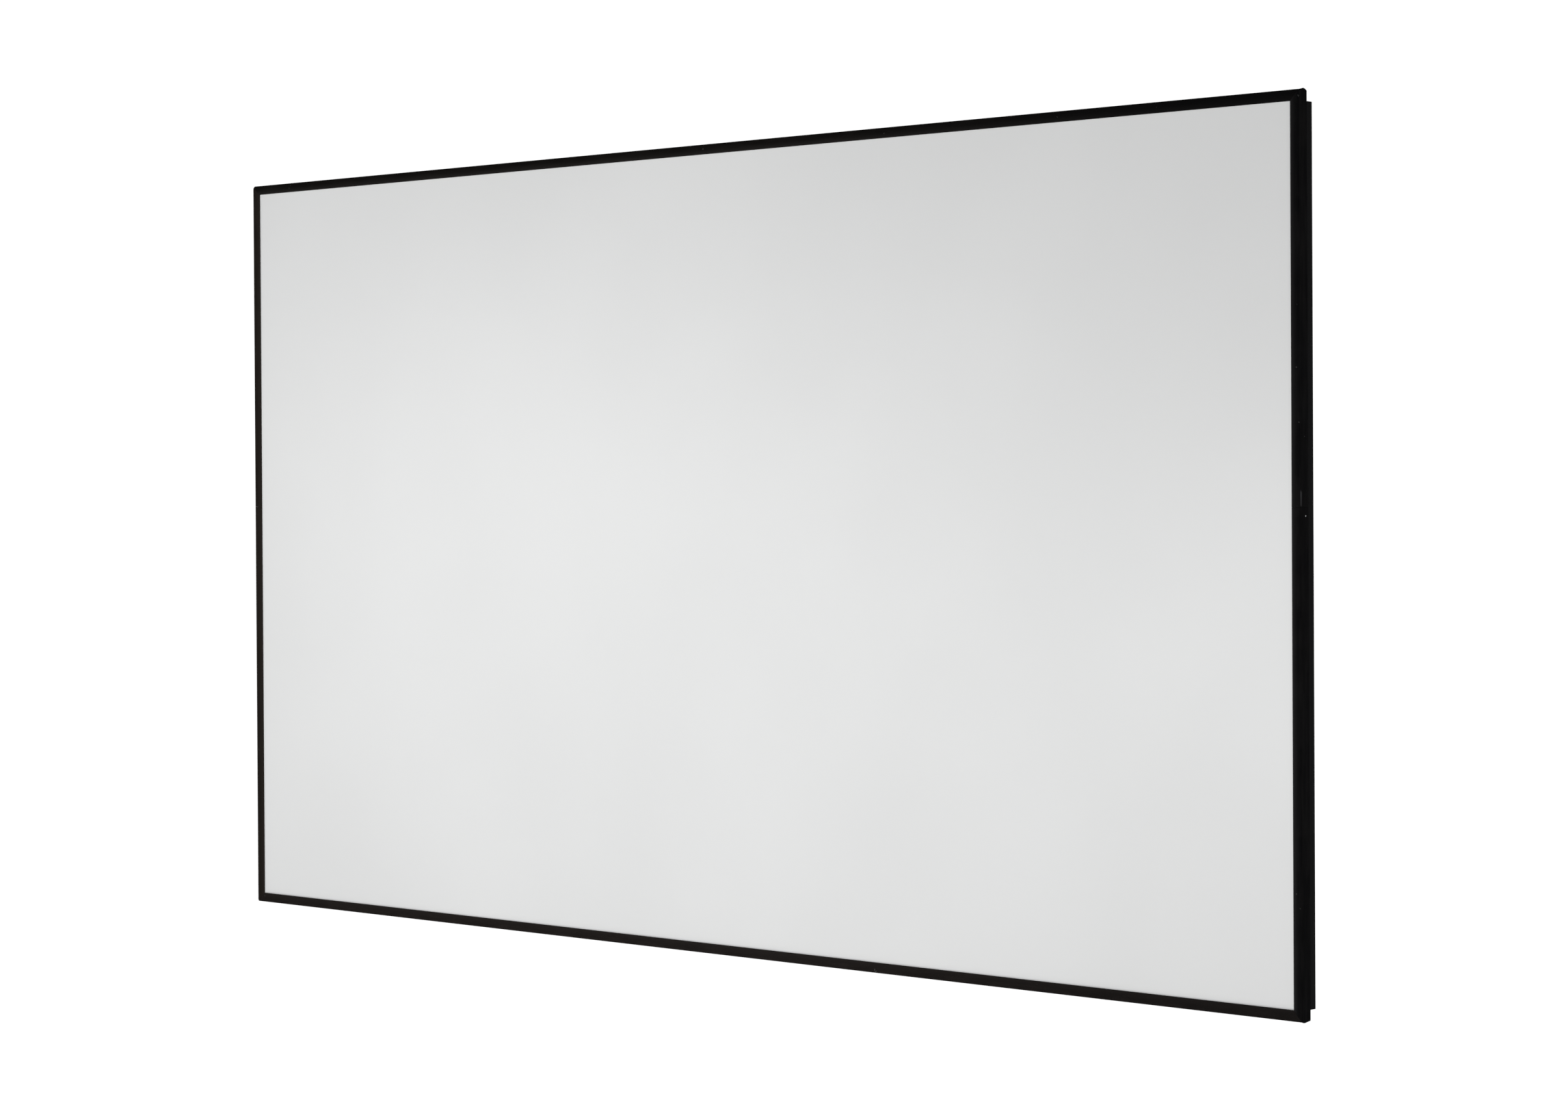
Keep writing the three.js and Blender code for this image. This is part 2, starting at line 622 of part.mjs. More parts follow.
// Assembly
function sideGroup(side, turn) {
  const group = new THREE.Group();
  group.rotation.y = -Math.PI / 2 * turn;
  const section = new THREE.Group();
  section.position.set(side.reach, -FRAME_DEPTH, 0);
  group.add(section);

  for (const half of halvesOf(side)) {
    const place = `${side.name}_${half.half}`;
    section.add(piece(`bezel_${place}`, trimGeometry(half), MATERIALS.velvet));
    section.add(piece(`rail_${place}`, railGeometry(half, side.span), MATERIALS.rail));
  }

  section.add(piece(`tension_rod_${side.name}`, rodGeometry(side.span), MATERIALS.steel));

  const spliceKey = piece(`splice_key_${side.name}`, spliceKeyGeometry(), MATERIALS.alloy);
  spliceKey.position.z = side.seam;
  section.add(spliceKey);

  const cornerKey = piece(`corner_key_${side.corner}`, cornerKeyGeometry(), MATERIALS.alloy);
  const cornerBlock = piece(`corner_block_${side.corner}`, cornerBlockGeometry(), MATERIALS.plastic);
  for (const mesh of [cornerKey, cornerBlock]) {
    mesh.position.z = side.span;
    section.add(mesh);
  }

  if (side.name === 'top' || side.name === 'bottom') {
    section.add(piece(`brace_end_${side.name}`, braceEndGeometry(), MATERIALS.plastic));
    const isTop = side.name === 'top';
    const place = FIXING_SPRING_GAPS * 2 * side.span / springPlaces(side.span).length;
    side.halves.forEach((half, i) => {
      const fixing = isTop
        ? piece(`wall_hanger_${half}`, hangerGeometry(), MATERIALS.steel)
        : piece(`wall_clip_${half}`, clipGeometry(), MATERIALS.steel);
      fixing.position.z = i === 0 ? place : -place;
      section.add(fixing);
    });
  }
  return group;
}

const screen = new THREE.Group();
SIDES.forEach((side, turn) => screen.add(sideGroup(side, turn)));
for (const mesh of [
  piece('screen_fabric', fabricGeometry(), MATERIALS.fabric),
  piece('centre_brace', braceGeometry(), MATERIALS.alloy),
]) {
  mesh.position.y = -FRAME_DEPTH;
  screen.add(mesh);
}

export default screen;
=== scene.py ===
"""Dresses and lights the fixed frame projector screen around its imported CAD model.

Lengths are in metres. The screen's back lies on the plane Y = 0, it faces -Y, and its middle is the
origin. Each side of the frame is drawn in its own section: u runs outwards from the edge of the
picture, v runs back from the front of the trims to the wall, and w runs along the side.
"""

import logging
import math
import random
from collections.abc import Callable, Iterable, Sequence
from dataclasses import dataclass
from enum import Enum
from itertools import accumulate, pairwise

import bmesh
import bpy
from mathutils import Euler, Matrix, Vector


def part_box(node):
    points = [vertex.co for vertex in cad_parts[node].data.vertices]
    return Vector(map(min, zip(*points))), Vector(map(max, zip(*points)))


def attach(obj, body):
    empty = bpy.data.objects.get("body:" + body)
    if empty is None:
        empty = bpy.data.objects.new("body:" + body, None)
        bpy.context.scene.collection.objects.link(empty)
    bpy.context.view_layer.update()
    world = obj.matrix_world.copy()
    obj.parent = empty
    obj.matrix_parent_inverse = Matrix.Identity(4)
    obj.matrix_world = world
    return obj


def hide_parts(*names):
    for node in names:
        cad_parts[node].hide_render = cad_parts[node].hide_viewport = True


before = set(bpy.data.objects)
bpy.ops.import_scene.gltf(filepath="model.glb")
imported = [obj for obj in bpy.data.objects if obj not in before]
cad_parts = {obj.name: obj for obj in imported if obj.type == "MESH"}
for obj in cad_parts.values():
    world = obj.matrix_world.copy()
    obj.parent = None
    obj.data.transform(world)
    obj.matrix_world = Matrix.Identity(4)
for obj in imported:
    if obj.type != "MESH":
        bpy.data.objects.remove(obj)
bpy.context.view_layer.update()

log = logging.getLogger("projector_screen")

MM = 0.001
BODY = "root"
FINE_ARC = math.radians(12)
EDGE_ARC = math.radians(30)
SMOOTH_ANGLE = math.radians(28)
SAME_PLACE = 0.01 * MM
WELD = 0.001 * MM
SHARPEST_TURN = 0.4
UPRIGHT = math.pi / 2
SIXTH = math.tau / 6

Colour = tuple[float, float, float]
Band = tuple[float, float]


# Node graphs


def math_method(operation: str, swapped: bool = False) -> Callable[..., "Value"]:
    """Makes a method of Value that adds one Math node.

    Args:
        operation: the node's operation.
        swapped: whether the value itself is the last term, as in 1 - value.

    Returns:
        The method.
    """

    def method(self: "Value", *others: "Value | float") -> "Value":
        """Adds the node over this value and the others.

        Args:
            others: the node's further terms.

        Returns:
            The node's result.
        """
        terms = (*others, self) if swapped else (self, *others)
        inputs = dict(enumerate(terms))
        return self.graph.node("ShaderNodeMath", inputs, operation=operation)["Value"]

    return method


class Value:
    """A number that flows through a node tree, with the arithmetic of Python."""

    __add__ = math_method("ADD")
    __radd__ = math_method("ADD", swapped=True)
    __sub__ = math_method("SUBTRACT")
    __rsub__ = math_method("SUBTRACT", swapped=True)
    __mul__ = math_method("MULTIPLY")
    __rmul__ = math_method("MULTIPLY", swapped=True)
    __truediv__ = math_method("DIVIDE")
    __gt__ = math_method("GREATER_THAN")
    sine = math_method("SINE")
    size = math_method("ABSOLUTE")
    root = math_method("SQRT")
    most = math_method("MAXIMUM")
    least = math_method("MINIMUM")

    def __init__(self, graph: "NodeGraph", socket: bpy.types.NodeSocket) -> None:
        """Wraps an output socket of a graph."""
        self.graph = graph
        self.socket = socket

    def ramp(self, low: "Value | float", high: "Value | float") -> "Value":
        """Rises smoothly from 0 where the value is low to 1 where it is high.

        Args:
            low: the value that gives 0.
            high: the value that gives 1.

        Returns:
            The eased share.
        """
        inputs = {"Value": self, "From Min": low, "From Max": high}
        made = self.graph.node("ShaderNodeMapRange", inputs, interpolation_type="SMOOTHSTEP")
        return made["Result"]

    def blended(self, other: "Value") -> "Value":
        """Three parts of this value and two of another."""
        return self * 0.6 + other * 0.4


class Outputs:
    """The outputs of one node, by name or number."""

    def __init__(self, graph: "NodeGraph", node: bpy.types.Node) -> None:
        """Keeps the node and its graph."""
        self.graph = graph
        self.node = node

    def __getitem__(self, key: str | int) -> Value:
        """The output of that name or number, as a value."""
        return Value(self.graph, self.node.outputs[key])


class NodeGraph:
    """A shader or geometry tree that is written as expressions."""

    def __init__(self, tree: bpy.types.NodeTree) -> None:
        """Starts with an empty tree."""
        self.tree = tree
        tree.nodes.clear()

    def node(self, kind: str, inputs: dict | None = None, **settings: object) -> Outputs:
        """Adds one node.

        Args:
            kind: Blender's name of the node type.
            inputs: a number, a colour, a datablock or a Value for each socket that is used.
            settings: the node's properties, which are set first.

        Returns:
            The node's outputs.
        """
        node = self.tree.nodes.new(kind)
        for name, setting in settings.items():
            setattr(node, name, setting)
        for key, given in (inputs or {}).items():
            if isinstance(given, Value):
                self.tree.links.new(given.socket, node.inputs[key])
            else:
                node.inputs[key].default_value = given
        return Outputs(self, node)

    def mix(self, factor: Value | float, first: Value | Colour, second: Value | Colour) -> Value:
        """Mixes two colours.

        Args:
            factor: 0 for the first colour, 1 for the second.
            first: a colour or the output of a node.
            second: a colour or the output of a node.

        Returns:
            The mixed colour.
        """
        inputs = {0: factor, 6: opaque(first), 7: opaque(second)}
        return self.node("ShaderNodeMix", inputs, data_type="RGBA")[2]

    def noise(
        self, place: Value, scale: float, detail: float = 2.0, roughness: float = 0.5
    ) -> Value:
        """Smooth noise around 0.5 with a fixed pattern.

        Args:
            place: where it is read.
            scale: how many features there are in a metre.
            detail: how many finer layers are added.
            roughness: how strong the finer layers are.

        Returns:
            The noise.
        """
        inputs = {"Vector": place, "Scale": scale, "Detail": detail, "Roughness": roughness}
        return self.node("ShaderNodeTexNoise", inputs)["Fac"]

    def stretched(self, place: Value, scale: Colour) -> Value:
        """Scales a position by a different number on each axis."""
        inputs = {"Vector": place, "Scale": scale}
        return self.node("ShaderNodeMapping", inputs)["Vector"]

    def place(self) -> Value:
        """The position on the piece, in metres of the part's frame."""
        return self.node("ShaderNodeTexCoord")["Object"]

    def axes(self, vector: Value) -> Outputs:
        """The X, Y and Z of a vector."""
        return self.node("ShaderNodeSeparateXYZ", {"Vector": vector})

    def vector(self, **axes: Value | float) -> Value:
        """A vector from the axes that are given, among X, Y and Z."""
        return self.node("ShaderNodeCombineXYZ", axes)["Vector"]

    def noted(self, name: str) -> Value:
        """A number that note() stored on the mesh, as a material reads it."""
        return self.node("ShaderNodeAttribute", attribute_name=name)["Fac"]

    def named(self, name: str, data_type: str = "FLOAT") -> Value:
        """An attribute of the geometry, as a geometry tree reads it."""
        made = self.node("GeometryNodeInputNamedAttribute", {"Name": name}, data_type=data_type)
        return made["Attribute"]

    def circle(self, sides: Value | int, radius: Value) -> Value:
        """A ring that is swept along a curve."""
        inputs = {"Resolution": sides, "Radius": radius}
        return self.node("GeometryNodeCurvePrimitiveCircle", inputs)["Curve"]

    def swept(self, line: Value, ring: Value) -> Value:
        """The closed skin of a ring swept along a curve."""
        inputs = {"Curve": line, "Profile Curve": ring, "Fill Caps": True}
        return self.node("GeometryNodeCurveToMesh", inputs)["Mesh"]

    def row(self, count: Value, first: Value, gap: Value) -> Value:
        """Points in a row along Z.

        Args:
            count: how many points there are.
            first: the first point's Z.
            gap: the step from each to the next.

        Returns:
            The points.
        """
        start, step = self.vector(Z=first), self.vector(Z=gap)
        inputs = {"Count": count, "Start Location": start, "Offset": step}
        return self.node("GeometryNodeMeshLine", inputs)["Mesh"]

    def repeated(self, shape: Value, points: Value, **turned: Value) -> Value:
        """A copy of a shape on each point, with a Rotation or a Scale where one is given."""
        inputs = {"Points": points, "Instance": shape, **turned}
        return self.node("GeometryNodeInstanceOnPoints", inputs)["Instances"]

    def shape_of(self, item: Value) -> Value:
        """The mesh of an object that the tree is given."""
        return self.node("GeometryNodeObjectInfo", {"Object": item})["Geometry"]

    def bump(self, height: Value, distance: float, strength: float) -> Value:
        """Turns a height between 0 and 1 into a normal.

        Args:
            height: the relief.
            distance: the relief's depth in metres.
            strength: how much of the relief is used.

        Returns:
            The bent normal.
        """
        inputs = {"Height": height, "Distance": distance, "Strength": strength}
        return self.node("ShaderNodeBump", inputs)["Normal"]


def opaque(colour: Value | Colour) -> Value | tuple[float, ...]:
    """Adds a full alpha to a plain colour, and leaves a value as it is."""
    return colour if isinstance(colour, Value) else (*colour, 1.0)


def placed(name: str, data: bpy.types.ID) -> bpy.types.Object:
    """Puts a new object into the scene.

    Args:
        name: the object's name.
        data: its mesh, light or camera.

    Returns:
        The object.
    """
    item = bpy.data.objects.new(name, data)
    bpy.context.scene.collection.objects.link(item)
    return item


def evaluated(holder: bpy.types.Object) -> bpy.types.Mesh:
    """Takes an object's mesh with its modifiers applied, and removes the object.

    Args:
        holder: the object.

    Returns:
        The mesh.
    """
    depsgraph = bpy.context.evaluated_depsgraph_get()
    made = bpy.data.meshes.new_from_object(holder.evaluated_get(depsgraph))
    bpy.data.objects.remove(holder)
    return made


class GeometryTree:
    """A Geometry Nodes tree with named inputs, which makes one kind of piece or detail."""

    SOCKETS = {
        float: "NodeSocketFloat",
        int: "NodeSocketInt",
        Euler: "NodeSocketRotation",
        bpy.types.Object: "NodeSocketObject",
    }

    def __init__(self, name: str, sizes: dict[str, object]) -> None:
        """Makes an empty tree.

        Args:
            name: the tree's name.
            sizes: the first value of each input, by its name.
        """
        self.tree = bpy.data.node_groups.new(name, "GeometryNodeTree")
        self.graph = NodeGraph(self.tree)
        self.sizes = sizes
        kinds = {label: self.SOCKETS[type(value)] for label, value in sizes.items()}
        kinds["Finish"] = "NodeSocketMaterial"
        interface = self.tree.interface
        for way in ("OUTPUT", "INPUT"):
            interface.new_socket("Geometry", in_out=way, socket_type="NodeSocketGeometry")
        self.identifiers = {
            label: interface.new_socket(label, in_out="INPUT", socket_type=kind).identifier
            for label, kind in kinds.items()
        }
        self.given = self.graph.node("NodeGroupInput")

    def close(self, geometry: Value) -> "GeometryTree":
        """Ends the tree, with its instances made real and its finish set, and returns it.

        Args:
            geometry: what the tree makes.

        Returns:
            The tree itself.
        """
        real = self.graph.node("GeometryNodeRealizeInstances", {"Geometry": geometry})["Geometry"]
        inputs = {"Geometry": real, "Material": self.given["Finish"]}
        dressed = self.graph.node("GeometryNodeSetMaterial", inputs)["Geometry"]
        self.graph.node("NodeGroupOutput", {"Geometry": dressed})
        return self

    def run(self, source: bpy.types.Mesh, finish: "Finish", **changed: object) -> bpy.types.Mesh:
        """Runs the tree on a mesh.

        Args:
            source: the mesh that enters the tree.
            finish: the finish of what the tree makes.
            changed: the inputs that differ from their first values, with underscores for spaces.

        Returns:
            The result as a plain mesh.
        """
        holder = placed(self.tree.name, source)
        modifier = holder.modifiers.new(self.tree.name, "NODES")
        modifier.node_group = self.tree
        inputs = {label.replace("_", " "): value for label, value in changed.items()}
        for label, value in {**self.sizes, **inputs, "Finish": finish.material()}.items():
            modifier[self.identifiers[label]] = value
        return evaluated(holder)


# Outlines and meshes


def arc(
    centre: Vector, radius: float, start: float, end: float, step: float = FINE_ARC
) -> list[Vector]:
    """Points along an arc, both ends included.

    Args:
        centre: the arc's centre.
        radius: its radius.
        start: the angle of its first point.
        end: the angle of its last point.
        step: the largest angle between two points.

    Returns:
        The points.
    """
    count = max(1, math.ceil(abs(end - start) / step - 1e-6))
    angles = [start + (end - start) * i / count for i in range(count + 1)]
    return [centre + radius * Vector((math.cos(angle), math.sin(angle))) for angle in angles]


def rounded(corners: Sequence[tuple[float, ...]], closed: bool = True) -> list[Vector]:
    """The points of a path whose corners are given as (u, v) or (u, v, radius).

    Args:
        corners: the corners in order.
        closed: whether the last corner joins the first.

    Returns:
        The points, with an arc at each rounded corner.
    """
    points: list[Vector] = []
    count = len(corners)
    for i, (u, v, *rest) in enumerate(corners):
        corner = Vector((u, v))
        radius = rest[0] if rest else 0.0
        if not radius or (not closed and i in (0, count - 1)):
            points.append(corner)
            continue
        before = (Vector(corners[i - 1][:2]) - corner).normalized()
        after = (Vector(corners[(i + 1) % count][:2]) - corner).normalized()
        half = before.angle(after) / 2
        centre = corner + (before + after).normalized() * (radius / math.sin(half))
        reach = radius / math.tan(half)
        first, last = (corner + side * reach - centre for side in (before, after))
        start = math.atan2(first.y, first.x)
        turn = math.remainder(math.atan2(last.y, last.x) - start, math.tau)
        step = EDGE_ARC if radius < MM else FINE_ARC
        points += arc(centre, radius, start, start + turn, step)
    return points


def inset(outline: Sequence[Vector], distance: float) -> list[Vector]:
    """Moves a closed outline inwards, whichever way round it runs.

    Args:
        outline: the outline's points.
        distance: how far each edge moves.

    Returns:
        The moved points.
    """
    count = len(outline)
    area = sum(outline[i - 1].cross(outline[i]) for i in range(count))
    moved = []
    for i, point in enumerate(outline):
        into = (point - outline[i - 1]).normalized()
        out = (outline[(i + 1) % count] - point).normalized()
        along = (into + out).normalized()
        inward = Vector((-along.y, along.x)) * math.copysign(1.0, area)
        moved.append(point + inward * (distance / max(along.dot(into), SHARPEST_TURN)))
    return moved


def mesh_from(
    name: str, points: Iterable[Vector], faces: Iterable[Sequence[int]] = ()
) -> bpy.types.Mesh:
    """Makes a mesh from its points and faces.

    Args:
        name: the mesh's name.
        points: its points.
        faces: the numbers of each face's corners.

    Returns:
        The mesh.
    """
    mesh = bpy.data.meshes.new(name)
    mesh.from_pydata([tuple(point) for point in points], [], [tuple(face) for face in faces])
    mesh.update()
    return mesh


def wire_from(name: str, points: Sequence[Vector], closed: bool = False) -> bpy.types.Mesh:
    """Makes a mesh of edges alone, through points in their order.

    Args:
        name: the mesh's name.
        points: its points.
        closed: whether the last point joins the first.

    Returns:
        The mesh.
    """
    count = len(points)
    edges = [(i, (i + 1) % count) for i in range(count if closed else count - 1)]
    wire = bpy.data.meshes.new(name)
    wire.from_pydata([tuple(point) for point in points], edges, [])
    return wire


def note(mesh: bpy.types.Mesh, name: str, values: Sequence[float]) -> None:
    """Stores a number at each point of a mesh, for a tree or a finish to read."""
    mesh.attributes.new(name, "FLOAT", "POINT").data.foreach_set("value", values)


def face_out(mesh: bpy.types.Mesh) -> bpy.types.Mesh:
    """Turns a closed mesh's faces outwards.

    Args:
        mesh: the mesh.

    Returns:
        The same mesh.
    """
    shell = bmesh.new()
    shell.from_mesh(mesh)
    bmesh.ops.recalc_face_normals(shell, faces=shell.faces)
    shell.to_mesh(mesh)
    shell.free()
    return mesh


def smooth(mesh: bpy.types.Mesh, angle: float = SMOOTH_ANGLE) -> bpy.types.Mesh:
    """Shades a mesh smooth, except over edges sharper than an angle.

    Args:
        mesh: the mesh.
        angle: the angle above which an edge stays sharp.

    Returns:
        The same mesh.
    """
    mesh.shade_smooth()
    mesh.set_sharp_from_angle(angle=angle)
    return mesh


def tube(name: str, rings: Sequence[Sequence[Vector]]) -> bpy.types.Mesh:
    """A closed skin over rings of equal length, with a cap at each end.

    Args:
        name: the mesh's name.
        rings: the outlines in order, each a list of points in space.

    Returns:
        The mesh, with its faces outwards.
    """
    width = len(rings[0])
    points = [point for ring in rings for point in ring]
    faces: list[Sequence[int]] = []
    for near in range(0, len(points) - width, width):
        for i in range(width):
            after = (i + 1) % width
            faces.append((near + i, near + after, near + width + after, near + width + i))
    faces += [range(width), range(len(points) - width, len(points))]
    return face_out(mesh_from(name, points, faces))


def joined(name: str, meshes: Iterable[bpy.types.Mesh]) -> bpy.types.Mesh:
    """Puts several meshes with the same finish into one.

    Args:
        name: the new mesh's name.
        meshes: the meshes to join.

    Returns:
        The new mesh.
    """
    whole = bmesh.new()
    for mesh in meshes:
        whole.from_mesh(mesh)
    result = bpy.data.meshes.new(name)
    whole.to_mesh(result)
    whole.free()
    return result


def show(mesh: bpy.types.Mesh, replaced: Sequence[str] = ()) -> bpy.types.Object:
    """Adds a finished mesh to the part.

    Args:
        mesh: the mesh, in the part's frame, with its finish on it.
        replaced: the CAD nodes that the piece stands for.

    Returns:
        The new piece.
    """
    piece = placed(mesh.name, mesh)
    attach(piece, BODY)
    if replaced:
        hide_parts(*replaced)
    stands_for = ", ".join(replaced) or "itself"
    log.info("%s: %d faces, stands for %s", mesh.name, len(mesh.polygons), stands_for)
    return piece


# The frame's section and its four sides


@dataclass(frozen=True)
class Section:
    """The layers of the frame's section, as the CAD model has them."""

    half_width: float
    half_height: float
    face_width: float
    side_depth: float
    depth: float
    upright_seam: float
    rail_reach: float
    clearance: float = 0.3 * MM
    lip: float = 3.0 * MM
    trim_wall: float = 1.6 * MM
    cloth: float = 0.5 * MM
    ridge_width: float = 7.3 * MM
    rail_front_radius: float = 2.5 * MM
    rail_rear_radius: float = 1.5 * MM
    spring_pitch: float = 210 * MM

    @classmethod
    def from_model(cls) -> "Section":
        """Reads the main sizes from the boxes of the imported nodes.

        Returns:
            The section.
        """
        trim_low, trim_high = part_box("bezel_right_upper")
        rail_low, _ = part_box("rail_right_upper")
        clearance = cls.clearance
        return cls(
            half_width=trim_low.x,
            half_height=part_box("bezel_top_left")[0].z,
            face_width=trim_high.x - trim_low.x,
            side_depth=trim_high.y - trim_low.y,
            depth=-trim_low.y,
            upright_seam=trim_low.z - clearance / 2,
            rail_reach=trim_low.x - rail_low.x,
        )

    @property
    def cloth_outside(self) -> float:
        """How far out the cloth's outer face runs, inside the trims."""
        return self.face_width - self.trim_wall - self.clearance

    @property
    def cloth_front(self) -> float:
        """Depth of the cloth's front face."""
        return self.lip + self.clearance

    def spring_places(self, span: float) -> list[float]:
        """Where the springs stand along a side: an even number, so that the middle stays free.

        Args:
            span: half the side's length.

        Returns:
            The place of each spring along the side.
        """
        count = 2 * max(1, round(span / self.spring_pitch))
        gap = 2 * span / count
        return [-span + gap * (i + 0.5) for i in range(count)]


class Edge(Enum):
    """The four sides of the frame, numbered by quarter turns from the right one."""

    RIGHT = 0
    TOP = 1
    LEFT = 2
    BOTTOM = 3


@dataclass(frozen=True)
class Half:
    """One of a side's two lengths: its node's last word, its ends and which way its corner lies."""

    word: str
    start: float
    end: float
    outward: int


@dataclass(frozen=True)
class Side:
    """One side of the frame and how its section lies in the part's frame."""

    edge: Edge
    reach: float
    span: float
    seam: float
    words: tuple[str, str]
    section: Section

    @property
    def name(self) -> str:
        """The side's name in the CAD nodes."""
        return self.edge.name.lower()

    @property
    def is_lying(self) -> bool:
        """Whether the side runs across, as the top and the bottom do."""
        return self.edge in (Edge.TOP, Edge.BOTTOM)

    def turned(self, across: float, along: float) -> tuple[float, float]:
        """Turns a point of the right side by this side's quarter turns, in the wall's plane.

        Args:
            across: the point's distance from the middle.
            along: its place along the side.

        Returns:
            The point's X and Z.
        """
        for _ in range(self.edge.value):
            across, along = -along, across
        return across, along

    def place(self, u: float, v: float, w: float) -> Vector:
        """The point of the part's frame that lies at (u, v, w) of this side."""
        x, z = self.turned(self.reach + u, w)
        return Vector((x, v - self.section.depth, z))

    def matrix(self) -> Matrix:
        """The matrix that puts a mesh made in (u, v, w) onto this side."""
        turn = Euler((0.0, -UPRIGHT * self.edge.value, 0.0)).to_matrix().to_4x4()
        return turn @ Matrix.Translation((self.reach, -self.section.depth, 0.0))

    def halves(self) -> list[Half]:
        """The two lengths either side of the seam.

        Returns:
            The length above the seam and the one below it, as the right side has them.
        """
        gap = self.section.clearance / 2
        return [
            Half(self.words[0], self.seam + gap, self.span, 1),
            Half(self.words[1], -self.span, self.seam - gap, -1),
        ]


def make_sides(section: Section) -> list[Side]:
    """The four sides in the order right, top, left, bottom.

    Args:
        section: the frame's section.

    Returns:
        The sides.
    """
    wide, high, seam = section.half_width, section.half_height, section.upright_seam
    return [
        Side(Edge.RIGHT, wide, high, seam, ("upper", "lower"), section),
        Side(Edge.TOP, high, wide, 0.0, ("left", "right"), section),
        Side(Edge.LEFT, wide, high, -seam, ("lower", "upper"), section),
        Side(Edge.BOTTOM, high, wide, 0.0, ("right", "left"), section),
    ]


# Finishes


class Grain(Enum):
    """The way that the fine lines of a drawn or brushed metal run."""

    ALONG_X = (0.02, 1.0, 1.0)
    ALONG_Z = (1.0, 1.0, 0.02)
    EVEN = (1.0, 1.0, 1.0)


@dataclass(frozen=True)
class Finish:
    """A finish on the Principled shader: constants on its sockets, and what varies in dress().

    The roughness is that where the pattern is nil, and spread is what the full pattern adds to it.
    """

    name: str
    colour: Colour
    roughness: float
    spread: float = 0.0
    metallic: float = 0.0
    gloss: float = 0.5
    relief: float = 0.5

    def constants(self) -> dict[str, object]:
        """The values that are the same all over.

        Returns:
            A value for each socket.
        """
        return {
            "Base Color": opaque(self.colour),
            "Roughness": self.roughness,
            "Metallic": self.metallic,
            "Specular IOR Level": self.gloss,
        }

    def dress(self, graph: NodeGraph) -> dict[str, Value]:
        """The sockets that vary over the surface."""
        return {}

    def material(self) -> bpy.types.Material:
        """Builds the material, once for each name.

        Returns:
            The material.
        """
        known = bpy.data.materials.get(self.name)
        if known:
            return known
        material = bpy.data.materials.new(self.name)
        material.use_nodes = True
        graph = NodeGraph(material.node_tree)
        inputs = {**self.constants(), **self.dress(graph)}
        shader = graph.node("ShaderNodeBsdfPrincipled", inputs)["BSDF"]
        graph.node("ShaderNodeOutputMaterial", {"Surface": shader})
        return material

    def put_on(self, *meshes: bpy.types.Mesh) -> None:
        """Gives meshes this finish alone.

        Args:
            meshes: the meshes.
        """
        for mesh in meshes:
            mesh.materials.clear()
            mesh.materials.append(self.material())


